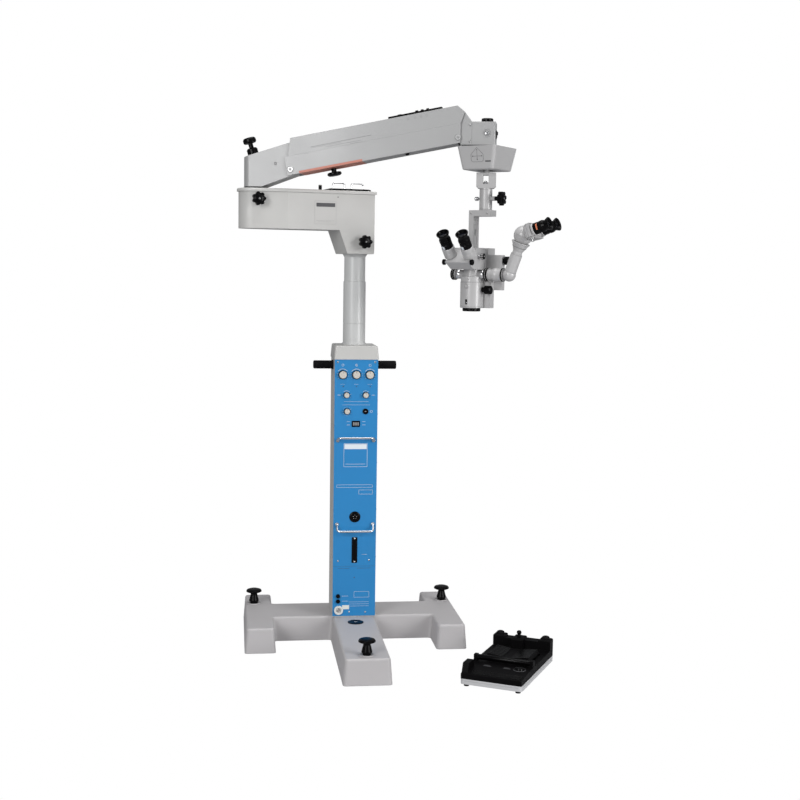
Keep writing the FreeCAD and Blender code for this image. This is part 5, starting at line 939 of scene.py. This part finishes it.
def makeMicroscopeTrim():
    """Rings and sleeves on the ports, and seams, slot, boss ring and screw on the barrel."""
    body = "microscope"
    scope = {"x": -7, "y": -80, "port": 1400, "radius": 41, "boss": 44.4}
    middle = headFrame @ shift(scope["x"], scope["y"], scope["port"])
    left = middle @ Matrix.Rotation(-math.pi / 2, 4, "Y")
    right = middle @ Matrix.Rotation(math.pi / 2, 4, "Y")
    axis = headFrame @ shift(scope["x"], scope["y"], 0)
    rings = [("leftPortRing", "blackGloss", left, 48, [(15.6, 65), (20.6, 65), (20.6, 70), (19.8, 71),
                                                       (20.6, 72), (20.6, 76.5), (19, 78.6), (15.6, 79)]),
             ("leftPortCap", "blackMatte", left, 48, [(0, 78.4), (12, 78.4), (12, 78.9), (0, 78.9)]),
             ("leftPortSleeve", "chrome", left, 48, [(15.5, 44), (16.3, 45), (16.3, 62), (15.5, 63)]),
             ("rightPortRing", "blackGloss", right, 48, [(15.6, 55.4), (23.4, 55.4), (23.4, 60), (22.4, 61),
                                                         (23.4, 62), (23.4, 68.6), (18, 69)]),
             ("rightPortSleeve", "chrome", right, 48, [(15.5, 41), (16.6, 42), (16.6, 47), (15.8, 48),
                                                       (16.6, 49), (16.6, 54), (15.5, 55)]),
             ("couplingRing", "blackGloss", right, 48, [(22.8, 121), (24.2, 121), (24.2, 125.6),
                                                        (22.8, 126)]),
             ("scopeSeam", "greyPrint", axis, 64, [(41, 1371.8), (41.25, 1372.2), (41.25, 1373.2),
                                                   (40, 1373.6)]),
             ("scopeBand", "softPrint", axis, 64, [(41, 1286), (41.3, 1286.4), (41.3, 1287.6), (41, 1288)])]
    latheEach(body, rings)
    front = onFace(headFrame, scope["x"], scope["y"] - scope["radius"], 0, nearSide)
    prism("scopeSlot", rectangle(-4, 4, 1294, 1312), -1.5, 0.3, "blackMatte", body, front, 0.2)
    prism("scopeSlotPin", rectangle(-1.2, 1.2, 1296, 1302), 0.2, 0.9, "chrome", body, front, 0.2)
    boss = onFace(headFrame, scope["x"], scope["y"] - scope["boss"], 1359, nearSide)
    lathe("scopeBossRing", [(6.4, -0.6), (7.4, -0.6), (7.4, 0.1), (6.4, 0.1)], "greyPrint", body, boss, 32)
    screw("scopeScrew", body, onFace(headFrame, scope["x"] + 6, scope["y"] - scope["radius"] + 1, 1384,
                                     nearSide), 2.4)


def makeBinocularKnobs():
    """The binocular's lock knob, and the pupil distance knobs on both sides."""
    lock = {"x": 37.5, "y": -120, "drop": 30}
    side = {"reach": 45.8, "share": 0.94}
    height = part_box("binocular_housing")[1].z / mm - lock["drop"]
    place = headFrame @ shift(lock["x"], lock["y"], height) @ Matrix.Rotation(math.pi / 2, 4, "Y")
    lathe("lockNeck", [(4, 0.5), (5.2, 1), (5.2, 4), (4.4, 5), (5.2, 6), (5.2, 9.6), (4, 10)], "chrome",
          "microscope", place, 32)
    ribs = ribbedRing(40, 10.9, 9.9, 4)
    prism("lockKnob", ribs, 12.5, 23, "blackGloss", "microscope", place, 0)
    lathe("lockCap", [(0, 22.8), (9.6, 22.8), (8.4, 24.2), (3, 24.4), (2.6, 23.6), (0, 23.6)], "blackGloss",
          "microscope", place, 32)
    smaller = [(x * side["share"], y * side["share"]) for x, y in ribs]
    for way in (-1, 1):
        axis = jointAxis("pupil_turn") * way
        place = frameFrom(jointPlace("pupil_turn") + axis * side["reach"] * mm, up, axis)
        lathe("pupilNeck%d" % way, [(0, 0.2), (6, 0.2), (6, 3.6), (4.6, 4.4), (0, 4.4)], "chrome",
              "pupil_drive", place, 32)
        prism("pupilKnob%d" % way, smaller, 5, 13, "blackGloss", "pupil_drive", place, 0)


def makeForkTrim():
    """The fork's nut, the hanger's thumb screw and seams, and the bracket's oval and screws."""
    body = "cross_slide_y"
    fork = {"turn": 26.5, "sill": 1723, "aside": -2}
    hanger = {"foot": 1630, "side": -22, "screwHeight": 1671}
    bracket = {"inner": -40, "ovalHeight": 1560, "front": -22, "screwHeight": 1618}
    sill = headFrame @ Matrix.Rotation(math.radians(fork["turn"]), 4, "Z") @ shift(fork["aside"], 0,
                                                                                   fork["sill"])
    thumb = headFrame @ shift(hanger["side"], 0, hanger["screwHeight"]) @ Matrix.Rotation(-math.pi / 2, 4,
                                                                                          "Y")
    neck = headFrame @ shift(0, 0, hanger["foot"])
    parts = [("forkNut", "chrome", sill, 6, [(0, 0.2), (9, 0.2), (9, 5), (7.4, 6.4), (4, 6.8), (4, 9),
                                             (0, 9.4)]),
             ("forkNutCap", "chrome", sill, 24, [(0, 6), (5, 6), (5, 10), (3, 11.4), (0, 11.6)]),
             ("thumbScrew", "chrome", thumb, 32, [(3.2, 0.6), (3.6, 0.6), (3.6, 8), (7.2, 9), (7.2, 12),
                                                  (6.4, 13), (7.2, 14), (7.2, 19), (5.4, 21.2), (0, 21.2)]),
             ("hangerSeam", "greyPrint", neck, 48, [(23, 2.4), (23.3, 2.8), (23.3, 3.8), (23, 4.2)]),
             ("hangerTopSeam", "softPrint", neck, 48, [(23, 72), (23.3, 72.4), (23.3, 73.4), (23, 73.8)])]
    latheEach(body, parts)
    face = onFace(headFrame, bracket["inner"], 0, bracket["ovalHeight"], (1, 0, 0))
    oval = [(6.6 * math.cos(math.tau * k / 40), 21 * math.sin(math.tau * k / 40)) for k in range(40)]
    printMarks("bracketOval", [oval], "greyPrint", "bracket", face, 0.5)
    for x in (-46, 18):
        place = onFace(headFrame, x, bracket["front"], bracket["screwHeight"], nearSide)
        screw("bracketScrew%d" % x, "bracket", place, 3)


# Observer, foot control and the smaller trim of the arm

def makeObserverHead():
    """The observer's prism head: a domed elbow with a seam, a rounded block and two black eyepieces."""
    body = "observer_binocular"
    block = {"root": 17.5, "shoulder": 34, "end": 56.8, "narrow": 30, "wide": 49.6, "half": 26.8, "tilt": 19}
    eyes = {"inset": 0.4, "aside": 34, "lead": 7, "length": 58.8}
    ball = jointPlace("observer_turn")
    across = jointAxis("cross_x")
    lean = frameFrom(ball, across, jointAxis("observer_turn"))
    tilt = math.radians(block["tilt"])
    ahead = across * math.cos(tilt) + up * math.sin(tilt)
    place = frameFrom(ball, ahead, up * math.cos(tilt) - across * math.sin(tilt))
    pieces = [lathe("observerDome", [(0, -25.6), (22, -25.6), (26.5, -21), (30.6, -14.5), (33.2, -7),
                                     (33.9, -2.2), (32.6, -1.6), (32.6, -0.2), (33.9, 0.4), (33.2, 7),
                                     (30.6, 14.5), (26.4, 21.2), (20, 27.2), (14, 30.8), (13, 29.8),
                                     (12, 31.4), (6, 33.4), (0, 33.9)], "greyPaint", body, lean, 64)]
    farSide = [(block["end"], block["wide"]), (block["shoulder"], block["wide"]),
               (block["root"], block["narrow"])]
    outline = [(x, -y) for x, y in reversed(farSide)] + farSide
    pieces.append(prism("observerBlock", outline, -block["half"], block["half"], "greyPaint", body, place, 6))
    under = place @ shift(44, -34, -26.4) @ Matrix.Rotation(math.pi, 4, "X")
    pieces.append(lathe("observerKnob", [(0, 0), (8.4, 0), (8.4, 1.6), (4.4, 2.2), (4.4, 5), (6, 6), (6, 8),
                                         (5.3, 8.5), (6, 9), (6, 10.6), (4.6, 11.8), (0, 11.8)],
                        "brushedSteel", body, under, 32))
    label = {"low": 12, "high": 17, "angle": 262, "spread": 64, "look": "orangePrint"}
    for name, sign, strip in (("Near", -1, label), ("Far", 1, None)):
        seat = place @ shift(block["end"] - eyes["inset"], eyes["aside"] * sign, 0)
        seat = seat @ Matrix.Rotation(math.pi / 2, 4, "Y")
        pieces += makeEyepiece("observer" + name, seat, body, eyes["lead"], eyes["length"], strip)
    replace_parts(joinPieces("observerHeadLook", pieces), "observer_head")


def makeObserverArmTrim():
    """Seams and rings on the observer's tube, and a screw on its elbow."""
    body = "observer_tube"
    elbow = {"x": 140, "y": -80, "z": 1400, "radius": 22.6}
    start = (headFrame @ shift(elbow["x"], elbow["y"], elbow["z"])).translation
    place = frameFrom(start, jointAxis("cross_x"), jointAxis("observer_turn"))
    latheEach(body, [("armTubeSeam", "softPrint", place, 48, [(20.5, 12), (20.9, 12.4), (20.9, 13.6),
                                                              (20.5, 14)]),
                     ("armTubeCollar", "greyPaint", place, 48, [(17, 76.2), (19, 76.6), (19, 79),
                                                                (17, 79.6)]),
                     ("armConeRing", "greyPaint", place, 56, [(31.4, 117), (32.6, 118.4), (32.6, 120.2),
                                                              (31, 120.8)]),
                     ("armConeSeam", "greyPrint", place, 56, [(24.6, 102.4), (25.3, 103.2), (25.8, 104.4),
                                                              (25.4, 104.6)])])
    front = onFace(headFrame, elbow["x"] + 2, elbow["y"] - elbow["radius"], elbow["z"] + 2, nearSide)
    screw("armTubeScrew", body, front, 2.6)


def makeFootControl():
    """Ribs, dial, labels, guard, caps, boot and tread pads on the foot control."""
    body = "stand"
    deck = {"height": 52, "front": -196, "toeHeight": 46, "toeReach": 84}
    rim = {"half": 110.15, "front": -198.1, "middle": 18, "grooveRise": 3, "groove": 0.8}
    rocker = {"middle": 63, "rise": 8, "flat": 9}
    slope = math.atan2(deck["height"] - deck["toeHeight"], deck["toeReach"])
    board = pedalFrame @ shift(0, deck["front"], deck["toeHeight"]) @ Matrix.Rotation(slope, 4, "X")
    for k in range(5):
        prism("toeRib%d" % k, rectangle(-78, 102, 9 + 7 * k, 12 + 7 * k), -0.2, 1.4, "blackGloss", body,
              board, 0.5)
    dial = pedalFrame @ shift(71, -98, deck["height"])
    lathe("dialRing", [(20.6, 0), (22, 0), (22, 1.6), (21, 2.2), (20.6, 1.6)], "darkPrint", body, dial)
    lathe("dialKnob", [(0, 0), (15, 0), (15, 2.6), (13.6, 4.4), (12.8, 8), (11.4, 9), (0, 9)], "blackGloss",
          body, dial)
    printMarks("dialTicks", tickBars((0, 0), 17.4, 20.4, 0.8, 0, 360, 30), "darkPrint", body, dial)
    labels = [rectangle(-58, -30, -104, -99), rectangle(-58, -36, -95, -92), rectangle(14, 40, -104, -99),
              rectangle(14, 34, -95, -92)]
    printMarks("footLabels", labels, "darkPrint", body, pedalFrame @ shift(0, 0, deck["height"]), 0.4)
    guard = pedalFrame @ shift(-98, -50, 65) @ Matrix.Rotation(math.pi / 2, 4, "Y")
    lathe("guardSleeve", [(0, -9), (8, -9), (10.4, -7), (10.6, -4), (9.6, -2), (9.6, 3), (9.3, 3.6),
                          (9.6, 4.2), (9.6, 192), (9.3, 192.6), (9.6, 193.2), (9.6, 197), (0, 197)],
          "blackGloss", body, guard, 40)
    for x in (-85.5, 85.5):
        lathe("postCap%d" % x, [(0, 0), (14.4, 0), (14.4, 3), (13, 6.4), (9, 8.8), (4, 9.8), (0, 10)],
              "rubber", body, pedalFrame @ shift(x, 177, 92), 40)
    boot = pedalFrame @ shift(-12, 167, 83)
    folds = [(5, 9.2)]
    for k in range(4):
        folds += [(8.4 - k * 0.7, 9.8 + 1.9 * k), (6 - k * 0.4, 10.8 + 1.9 * k)]
    lathe("stickBoot", [(0, 9)] + folds + [(4.2, 17.6), (0, 17.6)], "rubber", "stick", boot, 32)
    lathe("stickKnob", [(0, 16.6), (6, 16.8), (8.2, 19), (8.8, 22.6), (8, 26.4), (5.4, 28.8), (0, 29.4)],
          "blackGloss", "stick", boot, 40)
    for name, low, high, reach, way in (("Left", -70, -16, 70, 1), ("Right", 16, 79, 79, -1)):
        lift = math.atan2(rocker["rise"], reach - rocker["flat"]) * way
        base = pedalFrame @ shift(0, 0, rocker["middle"]) @ Matrix.Rotation(lift, 4, "Y")
        pads = [rectangle(low, high, -16 + 14 * k, -8 + 14 * k) for k in range(8)]
        printMarks("tread" + name, pads, "blackGloss", "rocker", base, 1.1)
    rise = rim["grooveRise"]
    for x in (-rim["half"], rim["half"]):
        side = onFace(pedalFrame, x, 0, rim["middle"], (x, 0, 0))
        printMarks("rimGroove%d" % x, [bar((-186, rise), (186, rise), rim["groove"])], "softPrint", body,
                   side, 0.12)
    front = onFace(pedalFrame, 0, rim["front"], rim["middle"], nearSide)
    printMarks("rimGrooveFront", [bar((-98, rise), (98, rise), rim["groove"])], "softPrint", body, front,
               0.12)


def makeStripTrim():
    """Three low buttons, a dial and two pale rules on the black control strip."""
    body = "casing"
    strip = {"low": 382, "high": 579, "top": 118}
    buttons = {"first": 104, "pitch": 20, "aside": -33}
    top = casingFrame @ shift(0, 0, strip["top"])
    for k in range(3):
        place = top @ shift(strip["low"] + buttons["first"] + buttons["pitch"] * k, buttons["aside"], 0)
        lathe("stripButton%d" % k, [(0, 0), (6.4, 0), (6.4, 1.2), (5.2, 1.8), (5.2, 4), (4, 4.4), (0, 4.4)],
              "blackGloss", body, place, 32)
    lathe("stripDial", [(0, 0), (9, 0), (9, 1.6), (7.6, 3.4), (0, 3.6)], "blackGloss", body,
          top @ shift(strip["low"] + 40, -20, 0), 40)
    lines = [bar((strip["low"] + 12, 24), (strip["high"] - 12, 24), 0.8),
             bar((strip["low"] + 12, -6), (strip["low"] + 80, -6), 0.8)]
    printMarks("stripPrint", lines, "softPrint", body, top)


def makeRearBlockTrim():
    """A plug in the rear block's near side, and a ring round its turntable disc."""
    body = "rear_block"
    plug = {"x": 92.7, "y": -44, "z": 1789.7}
    turntable = {"foot": 1702.4}
    place = onFace(upperFrame, plug["x"], plug["y"], plug["z"], nearSide)
    lathe("blockPlug", [(0, 0), (5.4, 0), (5.4, 0.7), (4.4, 0.9), (4, 0.5), (0, 0.5)], "greyPrint", body,
          place, 32)
    lathe("blockPlugFace", [(0, 0.4), (3.4, 0.4), (3.2, 0.9), (0, 1)], "softPrint", body, place, 32)
    lathe("turntableRing", [(35, 0.2), (36.4, 0.6), (36.4, 3.4), (35, 4.2)], "blackGloss", body,
          upperFrame @ shift(0, 0, turntable["foot"]), 64)


def makeStarCaps():
    """A moulded cap with a plain screw in each star knob's middle."""
    capDepth = 2
    for node, body in (("swing_clamp_knob", "swing_clamp"), ("column_clamp_knob", "column_clamp"),
                       ("suspension_star_knob", "suspension_clamp")):
        axis = jointAxis(body + "_turn")
        start = jointPlace(body + "_turn")
        knob = nodes[node]
        reach = max((knob.matrix_world @ vertex.co - start).dot(axis) for vertex in knob.data.vertices)
        place = frameFrom(start + axis * (reach - capDepth * mm), up, axis)
        lathe(body + "Cap", [(0, 0), (12.6, 0), (12.6, 1.6), (11.6, 1.9), (6, 2), (5.4, 1.2), (0, 1.2)],
              "blackGloss", body, place, 40)
        lathe(body + "Screw", [(0, 1), (3.6, 1), (3.2, 1.8), (0, 1.9)], "greyPrint", body, place, 24)


makeObserverHead()
makeObserverArmTrim()
makeFootControl()
makeStripTrim()
makeRearBlockTrim()
makeStarCaps()
print("observer and foot control made")
makeHeadKnob()
makeDrawer()
makeBinocularEyepieces()
makeMicroscopeTrim()
makeBinocularKnobs()
makeForkTrim()
print("head trim made")
